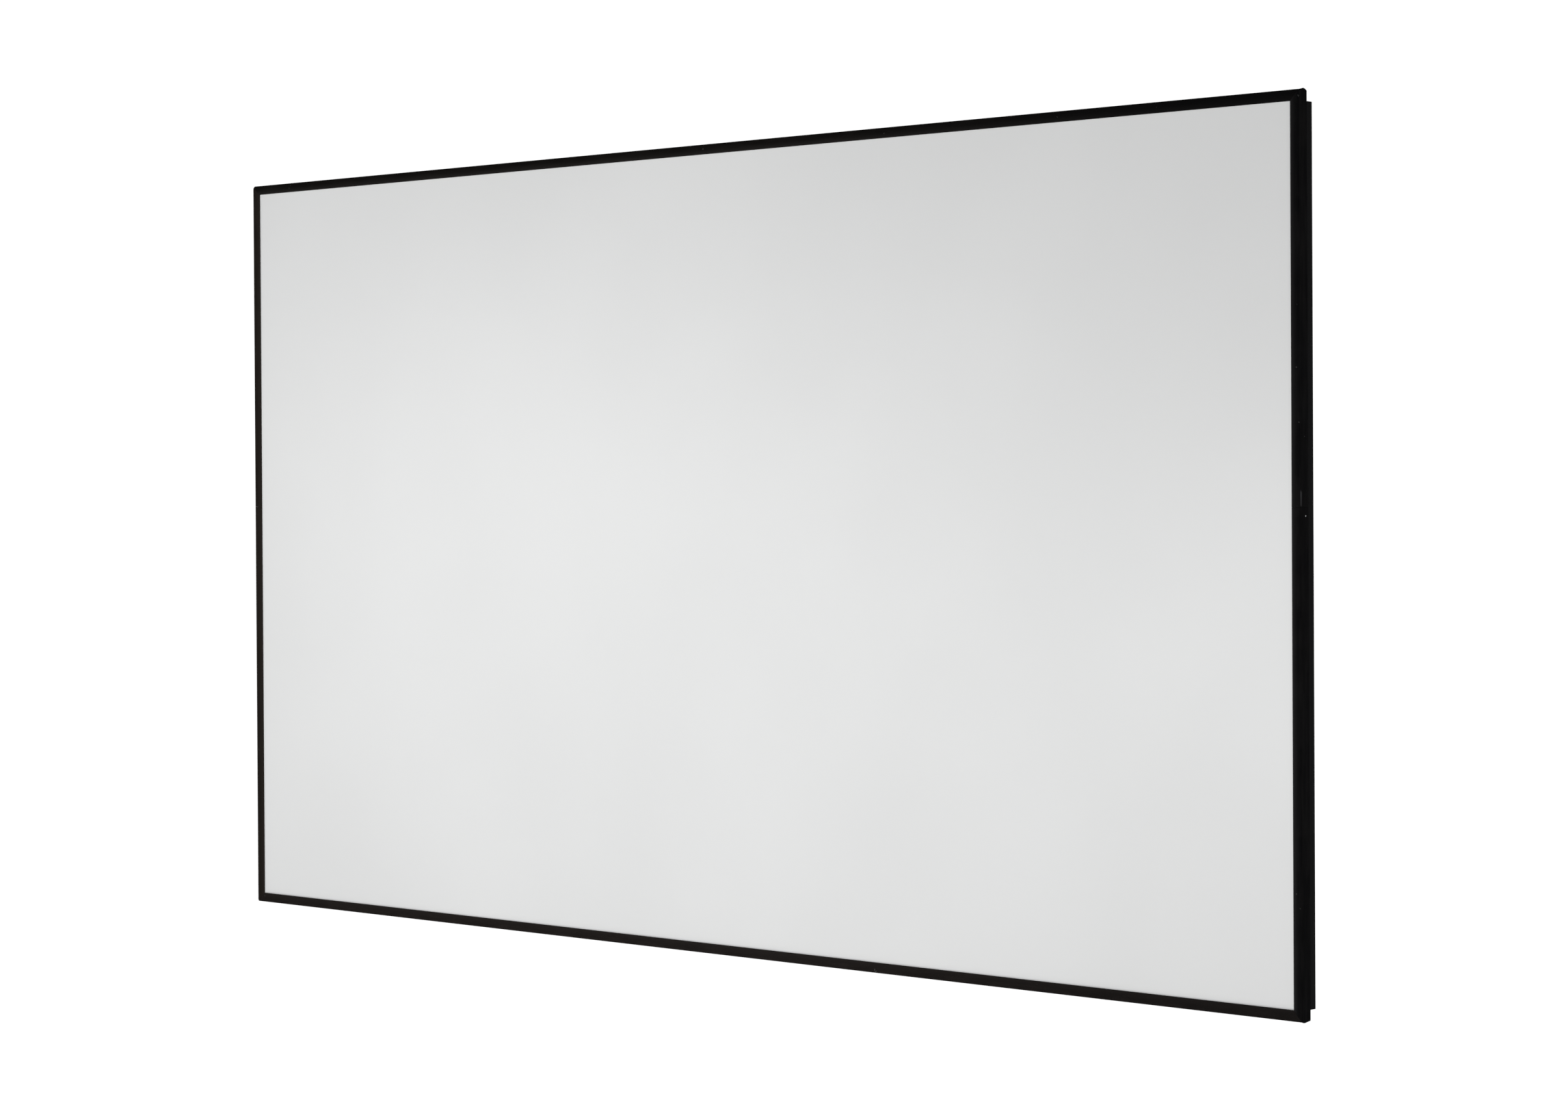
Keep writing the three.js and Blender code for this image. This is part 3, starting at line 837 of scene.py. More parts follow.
@dataclass(frozen=True)
class Velvet(Finish):
    """Short black pile with brushed streaks, wear and stray lint, painted sheen beside the picture,
    painted shade towards one end and a painted highlight on its worn edge.
    """

    name: str = "velvet_right"
    colour: Colour = (0.0034, 0.0034, 0.0037)
    roughness: float = 0.92
    gloss: float = 0.0
    relief: float = 0.6
    brushed_colour: Colour = (0.0066, 0.0064, 0.0065)
    # painted sheen: this paler tone beside the picture and on the outer wall stands in for light
    # and glare from the white cloth
    painted_sheen_colour: Colour = (0.018, 0.0175, 0.0178)
    # worn pile with a painted highlight: the pale line on the right trim's front edge above its
    # seam
    worn_colour: Colour = (0.036, 0.036, 0.038)
    lint_colour: Colour = (0.42, 0.41, 0.39)
    # painted shade: the velvet darkens towards +X, the near end, by the share given as shade
    painted_shade_colour: Colour = (0.0034, 0.0034, 0.0037)
    shade: float = 0.0
    painted_shade_span: Band = (0.1, 1.05)
    lay: Grain = Grain.ALONG_Z
    least_lay: float = 0.12
    sheen: float = 0.006
    sheen_roughness: float = 0.35
    sheen_tint: Colour = (0.9, 0.88, 0.86)
    streak_scale: float = 150.0
    streak_band: Band = (0.4, 0.68)
    patch_scale: float = 22.0
    patch_band: Band = (0.38, 0.66)
    pile_scale: float = 2600.0
    pile_depth: float = 0.12 * MM
    lint_scale: float = 55.0
    lint_size: Band = (0.0108, 0.018)
    lint_chance: Band = (0.6, 0.62)
    lint_chance_scale: float = 17.05
    least_wear_and_highlight: float = 0.25

    def constants(self) -> dict[str, object]:
        """Adds the sheen.

        Returns:
            A value for each socket.
        """
        return {
            **super().constants(),
            "Sheen Weight": self.sheen,
            "Sheen Roughness": self.sheen_roughness,
            "Sheen Tint": opaque(self.sheen_tint),
        }

    def dress(self, graph: NodeGraph) -> dict[str, Value]:
        """Streaks and patches, painted sheen on the slope, painted shade towards one end, the worn
        edge with its painted highlight, the pile's grain and stray lint.

        Args:
            graph: the material's graph.

        Returns:
            An output for each socket.
        """
        place = graph.place()
        lay = tuple(max(share, self.least_lay) for share in self.lay.value)
        lines = graph.noise(graph.stretched(place, lay), self.streak_scale)
        streaks = lines.ramp(*self.streak_band)
        patches = graph.noise(place, self.patch_scale, 3.0).ramp(*self.patch_band)
        pile = graph.noise(place, self.pile_scale, 1.0)
        cell = graph.node("ShaderNodeTexVoronoi", {"Vector": place, "Scale": self.lint_scale})
        spot = 1.0 - cell["Distance"].ramp(*self.lint_size)
        chance = graph.noise(place, self.lint_chance_scale, 0.0).ramp(*self.lint_chance)
        flat = graph.mix(streaks.blended(patches), self.colour, self.brushed_colour)
        # painted sheen: paler over the slope beside the picture and a little on the outer wall, by
        # the share in the slope attribute
        with_painted_sheen = graph.mix(graph.noted("slope"), flat, self.painted_sheen_colour)
        # painted shade: the top and bottom trims grow darker towards their right ends
        shade = graph.axes(place)["X"].ramp(*self.painted_shade_span) * self.shade
        with_painted_shade = graph.mix(shade, with_painted_sheen, self.painted_shade_colour)
        # worn pile with a painted highlight on the right trim's front edge, just above its seam
        worn = graph.noted("worn") * (self.least_wear_and_highlight + (1.0 - self.least_wear_and_highlight) * streaks)
        base = graph.mix(worn, with_painted_shade, self.worn_colour)
        return {
            "Base Color": graph.mix(spot * chance, base, self.lint_colour),
            "Normal": graph.bump(pile, self.pile_depth, self.relief),
        }


@dataclass(frozen=True)
class ScreenCloth(Finish):
    """Matt white coated cloth with a very fine emboss."""

    name: str = "screen_white"
    colour: Colour = (0.752, 0.757, 0.755)
    roughness: float = 0.84
    spread: float = 0.1
    gloss: float = 0.25
    cloud_colour: Colour = (0.732, 0.737, 0.735)
    cloud_scale: float = 2.2
    cloud_band: Band = (0.3, 0.7)
    emboss_scale: float = 1400.0
    emboss_depth: float = 0.05 * MM

    def dress(self, graph: NodeGraph) -> dict[str, Value]:
        """Faint clouds in the coating, and its emboss.

        Args:
            graph: the material's graph.

        Returns:
            An output for each socket.
        """
        place = graph.place()
        clouds = graph.noise(place, self.cloud_scale).ramp(*self.cloud_band)
        emboss = graph.noise(place, self.emboss_scale, 1.5)
        return {
            "Base Color": graph.mix(clouds, self.colour, self.cloud_colour),
            "Roughness": self.roughness + emboss * self.spread,
            "Normal": graph.bump(emboss, self.emboss_depth, self.relief),
        }


@dataclass(frozen=True, kw_only=True)
class BackCloth(Finish):
    """The cloth's black backing: a fine square weave under a thin coat, with painted shade on the
    turned edges.
    """

    name: str = "screen_backing"
    colour: Colour = (0.0135, 0.0135, 0.0142)
    roughness: float = 0.74
    spread: float = 0.12
    gloss: float = 0.04
    relief: float = 0.7
    thread_colour: Colour = (0.027, 0.0265, 0.027)
    # painted shade: the turned edges take these darker colours
    turned_colour_in_shade: Colour = (0.0042, 0.0042, 0.0046)
    turned_thread_colour_in_shade: Colour = (0.0078, 0.0077, 0.0080)
    thread_pitch: float = 0.9 * MM
    thread_depth: float = 0.08 * MM
    half_size: tuple[float, float]
    painted_shade_band: Band = (4 * MM, 12 * MM)
    wear_scale: float = 9.0
    wear_band: Band = (0.3, 0.75)

    def dress(self, graph: NodeGraph) -> dict[str, Value]:
        """The weave, read along the flat cloth, and the painted shade on the edges beyond the
        picture.

        Args:
            graph: the material's graph.

        Returns:
            An output for each socket.
        """
        flat = graph.node("ShaderNodeUVMap", uv_map="flat")["UV"]
        axes = graph.axes(flat)
        turns = math.pi / self.thread_pitch
        weft = (axes["X"] * turns).sine().size()
        warp = (axes["Y"] * turns).sine().size()
        weave = weft * warp
        wear = graph.noise(flat, self.wear_scale, 3.0).ramp(*self.wear_band)
        tone = weave.blended(wear)
        wide, high = self.half_size
        # painted shade: darker past the picture's edge, fading in from 4 mm and full from 12 mm,
        # where the backing turns round the rail
        past = (axes["X"].size() - wide).most(axes["Y"].size() - high).ramp(*self.painted_shade_band)
        lying = graph.mix(tone, self.colour, self.thread_colour)
        turned = graph.mix(tone, self.turned_colour_in_shade, self.turned_thread_colour_in_shade)
        return {
            "Base Color": graph.mix(past, lying, turned),
            "Roughness": self.roughness + wear * self.spread,
            "Normal": graph.bump(weave, self.thread_depth, self.relief),
        }


@dataclass(frozen=True)
class DrawnMetal(Finish):
    """Extruded or rolled metal: fine lines along its length and a little cloudiness."""

    colour: Colour = (0.045, 0.046, 0.049)
    roughness: float = 0.36
    spread: float = 0.14
    metallic: float = 0.9
    worn_colour: Colour = (0.075, 0.076, 0.08)
    grain: Grain = Grain.ALONG_X
    line_scale: float = 900.0
    cloud_scale: float = 14.0
    cloud_band: Band = (0.35, 0.7)
    cloud_spread: float = 0.05
    line_depth: float = 0.02 * MM

    def dress(self, graph: NodeGraph) -> dict[str, Value]:
        """Draw lines, clouds and the roughness that follows them.

        Args:
            graph: the material's graph.

        Returns:
            An output for each socket.
        """
        place = graph.place()
        lines = graph.noise(graph.stretched(place, self.grain.value), self.line_scale)
        clouds = graph.noise(place, self.cloud_scale, 4.0, 0.6).ramp(*self.cloud_band)
        return {
            "Base Color": graph.mix(clouds.blended(lines), self.colour, self.worn_colour),
            "Roughness": self.roughness + lines * self.spread + clouds * self.cloud_spread,
            "Normal": graph.bump(lines, self.line_depth, self.relief),
        }


@dataclass(frozen=True)
class Moulded(Finish):
    """Black moulded plastic with a fine spark texture."""

    name: str = "plastic_black"
    colour: Colour = (0.013, 0.013, 0.014)
    roughness: float = 0.58
    spread: float = -0.12
    relief: float = 0.6
    rubbed_colour: Colour = (0.022, 0.022, 0.023)
    rubbed_scale: float = 60.0
    rubbed_band: Band = (0.45, 0.7)
    texture_scale: float = 1900.0
    texture_depth: float = 0.05 * MM

    def dress(self, graph: NodeGraph) -> dict[str, Value]:
        """Spark texture, and patches rubbed smoother.

        Args:
            graph: the material's graph.

        Returns:
            An output for each socket.
        """
        place = graph.place()
        spark = graph.noise(place, self.texture_scale)
        rubbed = graph.noise(place, self.rubbed_scale, 3.0).ramp(*self.rubbed_band)
        return {
            "Base Color": graph.mix(rubbed, self.colour, self.rubbed_colour),
            "Roughness": self.roughness + rubbed * self.spread,
            "Normal": graph.bump(spark, self.texture_depth, self.relief),
        }


# Lit and shaded copies of one velvet: painted light makes the left and bottom paler and warmer, the
# top darker and the right darkest; the top and bottom also take painted shade towards their right
# ends
LIT_AND_SHADED_VELVETS = {
    Edge.RIGHT: Velvet(),
    Edge.TOP: Velvet(
        name="velvet_top",
        colour=(0.0056, 0.0050, 0.0046),
        brushed_colour=(0.0086, 0.0077, 0.0071),
        painted_sheen_colour=(0.0150, 0.0138, 0.0130),
        shade=0.75,
        lay=Grain.ALONG_X,
    ),
    Edge.LEFT: Velvet(
        name="velvet_left",
        colour=(0.0128, 0.0104, 0.0088),
        brushed_colour=(0.0172, 0.0139, 0.0117),
        painted_sheen_colour=(0.0190, 0.0158, 0.0136),
    ),
    Edge.BOTTOM: Velvet(
        name="velvet_bottom",
        colour=(0.0122, 0.0104, 0.0096),
        brushed_colour=(0.0168, 0.0142, 0.0131),
        painted_sheen_colour=(0.0190, 0.0162, 0.0150),
        shade=0.3,
        lay=Grain.ALONG_X,
    ),
}
RAIL_LYING = DrawnMetal(name="rail_anodised_lying", grain=Grain.ALONG_X)
RAIL_STANDING = DrawnMetal(name="rail_anodised_standing", grain=Grain.ALONG_Z)
ZINC = DrawnMetal(
    name="zinc_plated",
    colour=(0.42, 0.43, 0.44),
    worn_colour=(0.56, 0.56, 0.55),
    roughness=0.28,
    metallic=1.0,
    grain=Grain.EVEN,
    line_scale=420.0,
    cloud_scale=90.0,
)
SPRING_STEEL = DrawnMetal(
    name="spring_steel",
    colour=(0.46, 0.46, 0.46),
    worn_colour=(0.6, 0.6, 0.59),
    roughness=0.2,
    metallic=1.0,
    grain=Grain.EVEN,
    line_scale=700.0,
)
CAST_ALLOY = DrawnMetal(
    name="key_cast_alloy",
    colour=(0.3, 0.31, 0.32),
    worn_colour=(0.42, 0.42, 0.43),
    roughness=0.49,
    metallic=0.95,
    grain=Grain.EVEN,
    line_scale=260.0,
    cloud_scale=40.0,
    line_depth=0.08 * MM,
)
BLACK_SCREW = DrawnMetal(
    name="screw_blackened",
    colour=(0.03, 0.03, 0.031),
    worn_colour=(0.09, 0.088, 0.085),
    roughness=0.32,
    metallic=1.0,
    grain=Grain.EVEN,
    line_scale=500.0,
    cloud_scale=300.0,
)
PLASTIC = Moulded()
FIBRE = Moulded(
    name="fibre_pale",
    colour=(0.24, 0.235, 0.225),
    rubbed_colour=(0.3, 0.29, 0.28),
    texture_scale=3000.0,
)
THREAD = Moulded(
    name="thread_black",
    colour=(0.02, 0.02, 0.021),
    rubbed_colour=(0.035, 0.035, 0.036),
    texture_scale=5200.0,
)


# The stretched cloth


class ClothPattern:
    """The middle surface of the cloth while it grows, with the place of each point laid flat."""

    def __init__(self) -> None:
        """Starts with nothing."""
        self.numbers: dict[tuple[int, ...], int] = {}
        self.places: list[Vector] = []
        self.flats: list[tuple[float, float]] = []
        self.faces: list[tuple[int, ...]] = []
        self.finishes: list[int] = []

    def point(self, place: Vector, flat: tuple[float, float]) -> int:
        """The number of the point at a place, which is added where it is new.

        Args:
            place: where it is on the stretched cloth.
            flat: where it is on the cloth laid flat.

        Returns:
            The point's number.
        """
        key = tuple(round(value / WELD) for value in place)
        if key not in self.numbers:
            self.numbers[key] = len(self.places)
            self.places.append(place)
            self.flats.append(flat)
        return self.numbers[key]

    def face(self, corners: Iterable[int], finish: int) -> None:
        """Adds a face with the number of its finish."""
        self.faces.append(tuple(corners))
        self.finishes.append(finish)

    def mesh(self) -> bpy.types.Mesh:
        """The surface as a mesh, with its flat places as a UV map.

        Returns:
            The mesh.
        """
        mesh = mesh_from("cloth_middle", self.places, self.faces)
        mesh.polygons.foreach_set("material_index", self.finishes)
        layer = mesh.uv_layers.new(name="flat")
        for loop in mesh.loops:
            layer.data[loop.index].uv = self.flats[loop.vertex_index]
        return mesh


@dataclass(frozen=True)
class StretchedCloth:
    """The picture surface with four flaps that fold round the rails to their hems."""

    section: Section
    sides: list[Side]
    rod_diameter: float = 4.0 * MM
    hem_slope: float = math.radians(6)
    hem_span: float = 7.0 * MM
    hem_turn_in: float = 0.6 * MM
    hem_allowance: float = 5.1 * MM
    hem_play: float = 0.02 * MM
    hem_lines: tuple[float, ...] = (5.4 * MM, 3.9 * MM)
    border: float = 5.0 * MM
    side_lines: tuple[float, ...] = (0.4, 0.55, 0.65, 0.75)
    rear_fold: float = 0.6 * MM
    rear_share: float = 0.7
    window_width: float = 14.0 * MM
    window_depth: float = 2.89 * MM
    corner_cut: float = 4.0 * MM
    corner_line: float = 20.0 * MM
    line_gap: float = 60.0 * MM
    ripple: float = 0.1 * MM
    ripple_fade: float = 60.0 * MM

    @property
    def thickness(self) -> float:
        """The cloth's thickness."""
        return self.section.cloth

    @property
    def hem_normal(self) -> Vector:
        """The way that the hem's strip faces, towards the wall."""
        return Vector((-math.sin(self.hem_slope), math.cos(self.hem_slope)))

    @property
    def hem_along(self) -> Vector:
        """The way that the hem's strip runs, outwards."""
        return Vector((math.cos(self.hem_slope), math.sin(self.hem_slope)))

    @property
    def hem_radius(self) -> float:
        """Radius of the loop round the rod, at the cloth's middle."""
        return self.rod_diameter / 2 + self.section.clearance + self.thickness / 2

    @property
    def ridge_bend(self) -> Vector:
        """Centre of the bend over the rail's rear ridge.

        Returns:
            The centre in the section.
        """
        section = self.section
        rail_outside = section.cloth_outside - section.cloth - section.clearance
        rail_back = section.depth - section.cloth - section.clearance
        radius = section.rail_rear_radius
        return Vector((rail_outside - section.ridge_width + radius, rail_back - radius))

    @property
    def wrap(self) -> float:
        """How far the cloth's middle stands off the rail."""
        return self.section.clearance + self.thickness / 2

    @property
    def rod(self) -> Vector:
        """Centre of the tension rod in the section.

        Returns:
            The centre.
        """
        bend_radius = self.section.rail_rear_radius + self.wrap
        strip_end = self.ridge_bend + self.hem_normal * bend_radius - self.hem_along * self.hem_span
        return strip_end - self.hem_normal * self.hem_radius

    def flap_path(self) -> list[Vector]:
        """The middle of the cloth from the picture's edge to the end of the hem's allowance.

        Returns:
            The path's points in the section.
        """
        section = self.section
        front = section.cloth_front + self.thickness / 2
        outside = section.cloth_outside - self.thickness / 2
        back = section.depth - self.thickness / 2
        front_radius = section.rail_front_radius + self.wrap
        rear_radius = section.rail_rear_radius + self.wrap
        fold = self.rear_fold
        path = [Vector((0.0, front)), Vector((self.border, front))]
        bend = Vector((outside - front_radius, front + front_radius))
        path += arc(bend, front_radius, -UPRIGHT, 0.0)
        path += [Vector((outside, front + (back - front) * share)) for share in self.side_lines]
        path += arc(Vector((outside - fold, back - fold)), fold, 0.0, UPRIGHT)
        path += arc(self.ridge_bend, rear_radius, UPRIGHT, UPRIGHT + self.hem_slope)
        path += [self.on_strip(line) for line in self.hem_lines]
        path.append(self.on_strip((self.window_depth - self.rod.x) / math.cos(self.hem_slope)))
        return path + self.hem_loop()

    def on_strip(self, along: float, drop: float = 0.0) -> Vector:
        """A point of the hem's strip, measured outwards from the rod."""
        return self.rod + self.hem_along * along + self.hem_normal * (self.hem_radius - drop)

    def hem_loop(self) -> list[Vector]:
        """The hem once round the rod and back under the strip, where it is stitched.

        Returns:
            The loop's points in the section.
        """
        lie = self.hem_radius - self.thickness - self.hem_play
        turn_in = self.hem_turn_in
        rise = lie - turn_in
        across = math.sqrt((self.hem_radius + turn_in) ** 2 - rise**2)
        leave = math.atan2(rise, across)
        start = UPRIGHT + self.hem_slope
        loop = arc(self.rod, self.hem_radius, start, start + 1.5 * math.pi + leave)
        bend = self.rod + self.hem_along * across + self.hem_normal * rise
        loop += arc(bend, turn_in, self.hem_slope + math.pi + leave, start, EDGE_ARC)
        loop.append(self.on_strip(self.hem_allowance, self.hem_radius - lie))
        return loop

    def lines(self, side: Side) -> list[float]:
        """The cross lines of one side, with one at each edge of each window.

        Args:
            side: the side.

        Returns:
            Their places along the side, in order.
        """
        half = self.window_width / 2
        inner = side.span - self.corner_line
        marks = {-side.span, side.span, -inner, inner}
        for place in self.section.spring_places(side.span):
            marks |= {place - half, place + half}
        ordered = sorted(marks)
        lines = []
        for low, high in pairwise(ordered):
            count = max(1, round((high - low) / self.line_gap))
            lines += [low + (high - low) * i / count for i in range(count)]
        return lines + [side.span]

    def front(self, pattern: ClothPattern) -> None:
        """Lays out the flat picture, with the flaps' cross lines running through it.

        Args:
            pattern: the surface that it is added to.
        """
        depth = self.section.cloth_front + self.thickness / 2 - self.section.depth
        columns = self.lines(self.sides[Edge.TOP.value])
        rows = self.lines(self.sides[Edge.RIGHT.value])
        for left, right in pairwise(columns):
            for low, high in pairwise(rows):
                corners = ((left, low), (right, low), (right, high), (left, high))
                pattern.face((pattern.point(Vector((x, depth, z)), (x, z)) for x, z in corners), 0)

    def flap(self, pattern: ClothPattern, side: Side) -> None:
        """Adds one flap, open at each spring and cut back at its corners.

        Args:
            pattern: the surface that it is added to.
            side: the flap's side.
        """
        lines = self.lines(side)
        springs = self.section.spring_places(side.span)
        path = self.flap_path()
        window_start = next(i for i, point in enumerate(path) if self.is_past_window(point))
        grid = []
        for point, run in zip(path, self.runs()):
            row = []
            for line in lines:
                along = self.pulled_in(side, point, line)
                place = side.place(point.x + self.ripple_at(side, point, along), point.y, along)
                row.append(pattern.point(place, side.turned(side.reach + run, along)))
            grid.append(row)
        for station, (near, far) in enumerate(pairwise(grid)):
            for column, (line, after) in enumerate(pairwise(lines)):
                middle = (line + after) / 2
                by_spring = any(abs(middle - spring) < self.window_width / 2 for spring in springs)
                if station < window_start or not by_spring:
                    corners = (near[column], far[column], far[column + 1], near[column + 1])
                    pattern.face(corners, 0 if station == 0 else 1)

    def runs(self) -> list[float]:
        """How far along the cloth each point of the flap lies from the picture's edge."""
        steps = ((after - before).length for before, after in pairwise(self.flap_path()))
        return list(accumulate(steps, initial=0.0))

    def is_on_back(self, point: Vector) -> bool:
        """Whether a point of the section lies behind the rail."""
        return point.y > self.section.depth * self.rear_share

    def is_past_window(self, point: Vector) -> bool:
        """Whether a point of the section lies at the window's edge or beyond it."""
        return self.is_on_back(point) and point.x <= self.window_depth + SAME_PLACE

    def pulled_in(self, side: Side, point: Vector, line: float) -> float:
        """A cross line's place, drawn in where the hem's corner is cut away.

        Args:
            side: the flap's side.
            point: a point of the section.
            line: the cross line's own place.

        Returns:
            The line's place at that point.
        """
        short = max(0.0, self.corner_cut - point.x) if self.is_on_back(point) else 0.0
        limit = side.span - (short + self.section.clearance if short else 0.0)
        return math.copysign(min(abs(line), limit), line)

    def ripple_at(self, side: Side, point: Vector, along: float) -> float:
        """The slight waves that the springs pull into the turned edge.

        Args:
            side: the flap's side.
            point: a point of the section.
            along: the place along the side.

        Returns:
            How far out the cloth moves there.
        """
        outside = self.section.cloth_outside - self.thickness / 2
        if abs(point.x - outside) > SAME_PLACE:
            return 0.0
        first, second, *_ = self.section.spring_places(side.span)
        fade = min(1.0, (side.span - abs(along)) / self.ripple_fade)
        return self.ripple * fade * math.cos(math.tau * (along - first) / (second - first))

    def build(self) -> None:
        pattern = ClothPattern()
        self.front(pattern)
        for side in self.sides:
            self.flap(pattern, side)
        middle = pattern.mesh()
        section = self.section
        backing = BackCloth(half_size=(section.half_width, section.half_height))
        for finish in (ScreenCloth(), backing, backing):
            middle.materials.append(finish.material())
        holder = placed("cloth_holder", middle)
        wall = holder.modifiers.new("thickness", "SOLIDIFY")
        wall.thickness = self.thickness
        wall.offset = 0.0
        wall.use_even_offset = True
        wall.material_offset = 1
        wall.material_offset_rim = 1
        mesh = evaluated(holder)
        mesh.name = "stretched_cloth"
        flap = self.runs()[-1]
        show(smooth(mesh), ["screen_fabric"])


# Trims


class Fold(Enum):
    """How the velvet is folded at a corner: its radius, its rise and how deep the rise is full."""

    TOP_LEFT = (5.5 * MM, 0.0, 1.0 * MM)
    TOP_RIGHT = (1.6 * MM, 2.6 * MM, 14.0 * MM)
    BOTTOM_LEFT = (3.2 * MM, 0.0, 1.0 * MM)
    BOTTOM_RIGHT = (1.6 * MM, 1.7 * MM, 6.0 * MM)


@dataclass(frozen=True)
class Trims:
    """The velvet covered trims: an L section with a crowned face, mitred at the corners."""

    section: Section
    sides: list[Side]
    pile: float = 0.35 * MM
    lip_gap: float = 0.05 * MM
    crown_height: float = 1.5 * MM
    crown_width: float = 9.0 * MM
    crown_steps: int = 10
    # the painted sheen fades over this width from the picture's edge, and the outer wall takes this
    # share of it
    painted_sheen_width: float = 12.0 * MM
    wall_slope: float = 0.1
    face_edge_radius: float = 0.8 * MM
    nose_radius: float = 0.5 * MM
    lip_radius: float = 0.15 * MM
    inner_radius: float = 0.8 * MM
    edge_radius: float = 0.6 * MM
    wall_lines: tuple[float, ...] = (2.4 * MM, 5 * MM, 9 * MM, 13 * MM, 16 * MM, 18 * MM)
    roll: tuple[Band, ...] = (
        (0.0, 0.3 * MM), (0.05 * MM, 0.15 * MM), (0.18 * MM, 0.04 * MM), (0.4 * MM, 0.0)
    )
    corner_lines: tuple[float, ...] = (1 * MM, 2 * MM, 3.2 * MM, 4.6 * MM, 6.5 * MM)
    seam_lines: tuple[float, ...] = (3 * MM, 20 * MM, 24 * MM)
    fold_start: float = 9.0 * MM
    # the worn pile and its painted highlight reach this far onto the face and back along the side
    wear_and_highlight_face: float = 0.24 * MM
    wear_and_highlight_side: float = 2.48 * MM
    joint_gap: float = 0.03 * MM
    line_gap: float = 120.0 * MM

    def outline(self) -> list[Vector]:
        """The trim's section.

        Returns:
            The outline's points.
        """
        section = self.section
        outside = section.face_width
        wall_inside = outside - section.trim_wall
        lip = section.cloth_front - self.lip_gap
        outs = [self.crown_width * i / self.crown_steps for i in range(1, self.crown_steps + 1)]
        return rounded([
            (-self.pile, lip, self.lip_radius),
            (-self.pile, self.crown_height, self.nose_radius),
            *((out, self.face_depth(out)) for out in outs),
            (outside, 0.0, self.face_edge_radius),
            *((outside, line) for line in self.wall_lines),
            (outside, section.side_depth, self.edge_radius),
            (wall_inside, section.side_depth, self.edge_radius),
            (wall_inside, lip, self.inner_radius),
        ])

    def face_depth(self, out: float) -> float:
        """Depth of the crowned face at a distance from the picture's edge."""
        return self.crown_height * max(0.0, 1 - out / self.crown_width) ** 2

    def fold_of(self, side: Side, half: Half) -> Fold:
        """The fold at the corner where a length ends.

        Args:
            side: the length's side.
            half: the length.

        Returns:
            The fold.
        """
        level = side.name if side.is_lying else {"upper": "top", "lower": "bottom"}[half.word]
        flank = half.word if side.is_lying else side.name
        return Fold[f"{level}_{flank}".upper()]

    def tree(self, section: bpy.types.Object) -> GeometryTree:
        """A tree that sweeps the section along a length, mitres it and folds it at the corner.

        Args:
            section: the object that holds the section.

        Returns:
            The tree.
        """
        tree = GeometryTree("velvet_trim", {
            "Section": section,
            "Face Width": self.section.face_width,
            "Side Depth": self.section.side_depth,
            "Mitre Cut": self.joint_gap,
            "Fold Start": self.fold_start,
            "Fold Radius": 0.0,
            "Rise": 0.0,
            "Rise Depth": MM,
            "Rise Outwards": 0.0,
        })
        graph, given = tree.graph, tree.given
        ring, ring_place = self.placed_curve(graph, graph.shape_of(given["Section"]))
        line, line_place = self.placed_curve(graph, given["Geometry"])
        skin = graph.swept(line, ring)

        # Where each point lies before the folds: tucked in at the ends and cut along the mitre
        tuck = graph.named("tuck")
        inward = graph.axes(graph.named("inward", "FLOAT_VECTOR"))
        out = ring_place["X"] + inward["X"] * tuck
        back = ring_place["Y"] + inward["Y"] * tuck
        past = line_place["Z"] + graph.named("mitred") * (out - given["Mitre Cut"])

        # The lift of the covering, which is full on the corner and fades towards the wall
        face_width, depth = given["Face Width"], given["Rise Depth"]
        fold_start = given["Fold Start"]
        near = out.ramp(fold_start, face_width) * past.ramp(fold_start, face_width)
        tail = 1.0 - back.ramp(depth, given["Side Depth"])
        rise = given["Rise"] * near * back.ramp(0.0, depth) * tail

        # The rounded corner: what lies outside its circle is drawn onto it
        start = face_width - given["Fold Radius"]
        over_out, over_past = out - start, past - start
        reach = (over_out * over_out + over_past * over_past).root()
        pull = (over_out.most(over_past) / reach).least(1.0) - 1.0
        pull = pull * (over_out.least(over_past) > 0.0)
        outwards = given["Rise Outwards"]
        place = graph.vector(
            X=out + over_out * pull + rise * outwards,
            Y=back,
            Z=past + over_past * pull + rise * (1.0 - outwards),
        )
        inputs = {"Geometry": skin, "Position": place}
        shaped = graph.node("GeometryNodeSetPosition", inputs)["Geometry"]
        # worn pile with a painted highlight: the wear stations times the front edge
        worn = graph.named("wear") * graph.named("edge")
        inputs = {"Geometry": shaped, "Name": "worn", "Value": worn}
        stored = graph.node(
            "GeometryNodeStoreNamedAttribute", inputs, data_type="FLOAT", domain="POINT"
        )
        return tree.close(stored["Geometry"])

    @staticmethod
    def placed_curve(graph: NodeGraph, wire: Value) -> tuple[Value, Outputs]:
        """Turns a wire into a curve that remembers where its points were.

        Args:
            graph: the tree's graph.
            wire: a geometry of edges alone.

        Returns:
            The curve, and the X, Y and Z of its points for whatever is swept from it.
        """
        curve = graph.node("GeometryNodeMeshToCurve", {"Mesh": wire})["Curve"]
        position = graph.node("GeometryNodeInputPosition")["Position"]
        capture = graph.node("GeometryNodeCaptureAttribute", {"Geometry": curve}, domain="POINT")
        capture.node.capture_items.new("VECTOR", "place")
        graph.tree.links.new(position.socket, capture.node.inputs["place"])
        return capture["Geometry"], graph.axes(capture["place"])

    def section_wire(self) -> bpy.types.Mesh:
        """The section as a closed wire that notes its way inwards, its share of painted sheen and
        its front edge.

        Returns:
            The wire.
        """
        outline = self.outline()
        wire = wire_from("trim_section", [point.to_3d() for point in outline], closed=True)
        ways = [(moved - point).to_3d() for moved, point in zip(inset(outline, 1.0), outline)]
        attribute = wire.attributes.new("inward", "FLOAT_VECTOR", "POINT")
        attribute.data.foreach_set("vector", [value for way in ways for value in way])
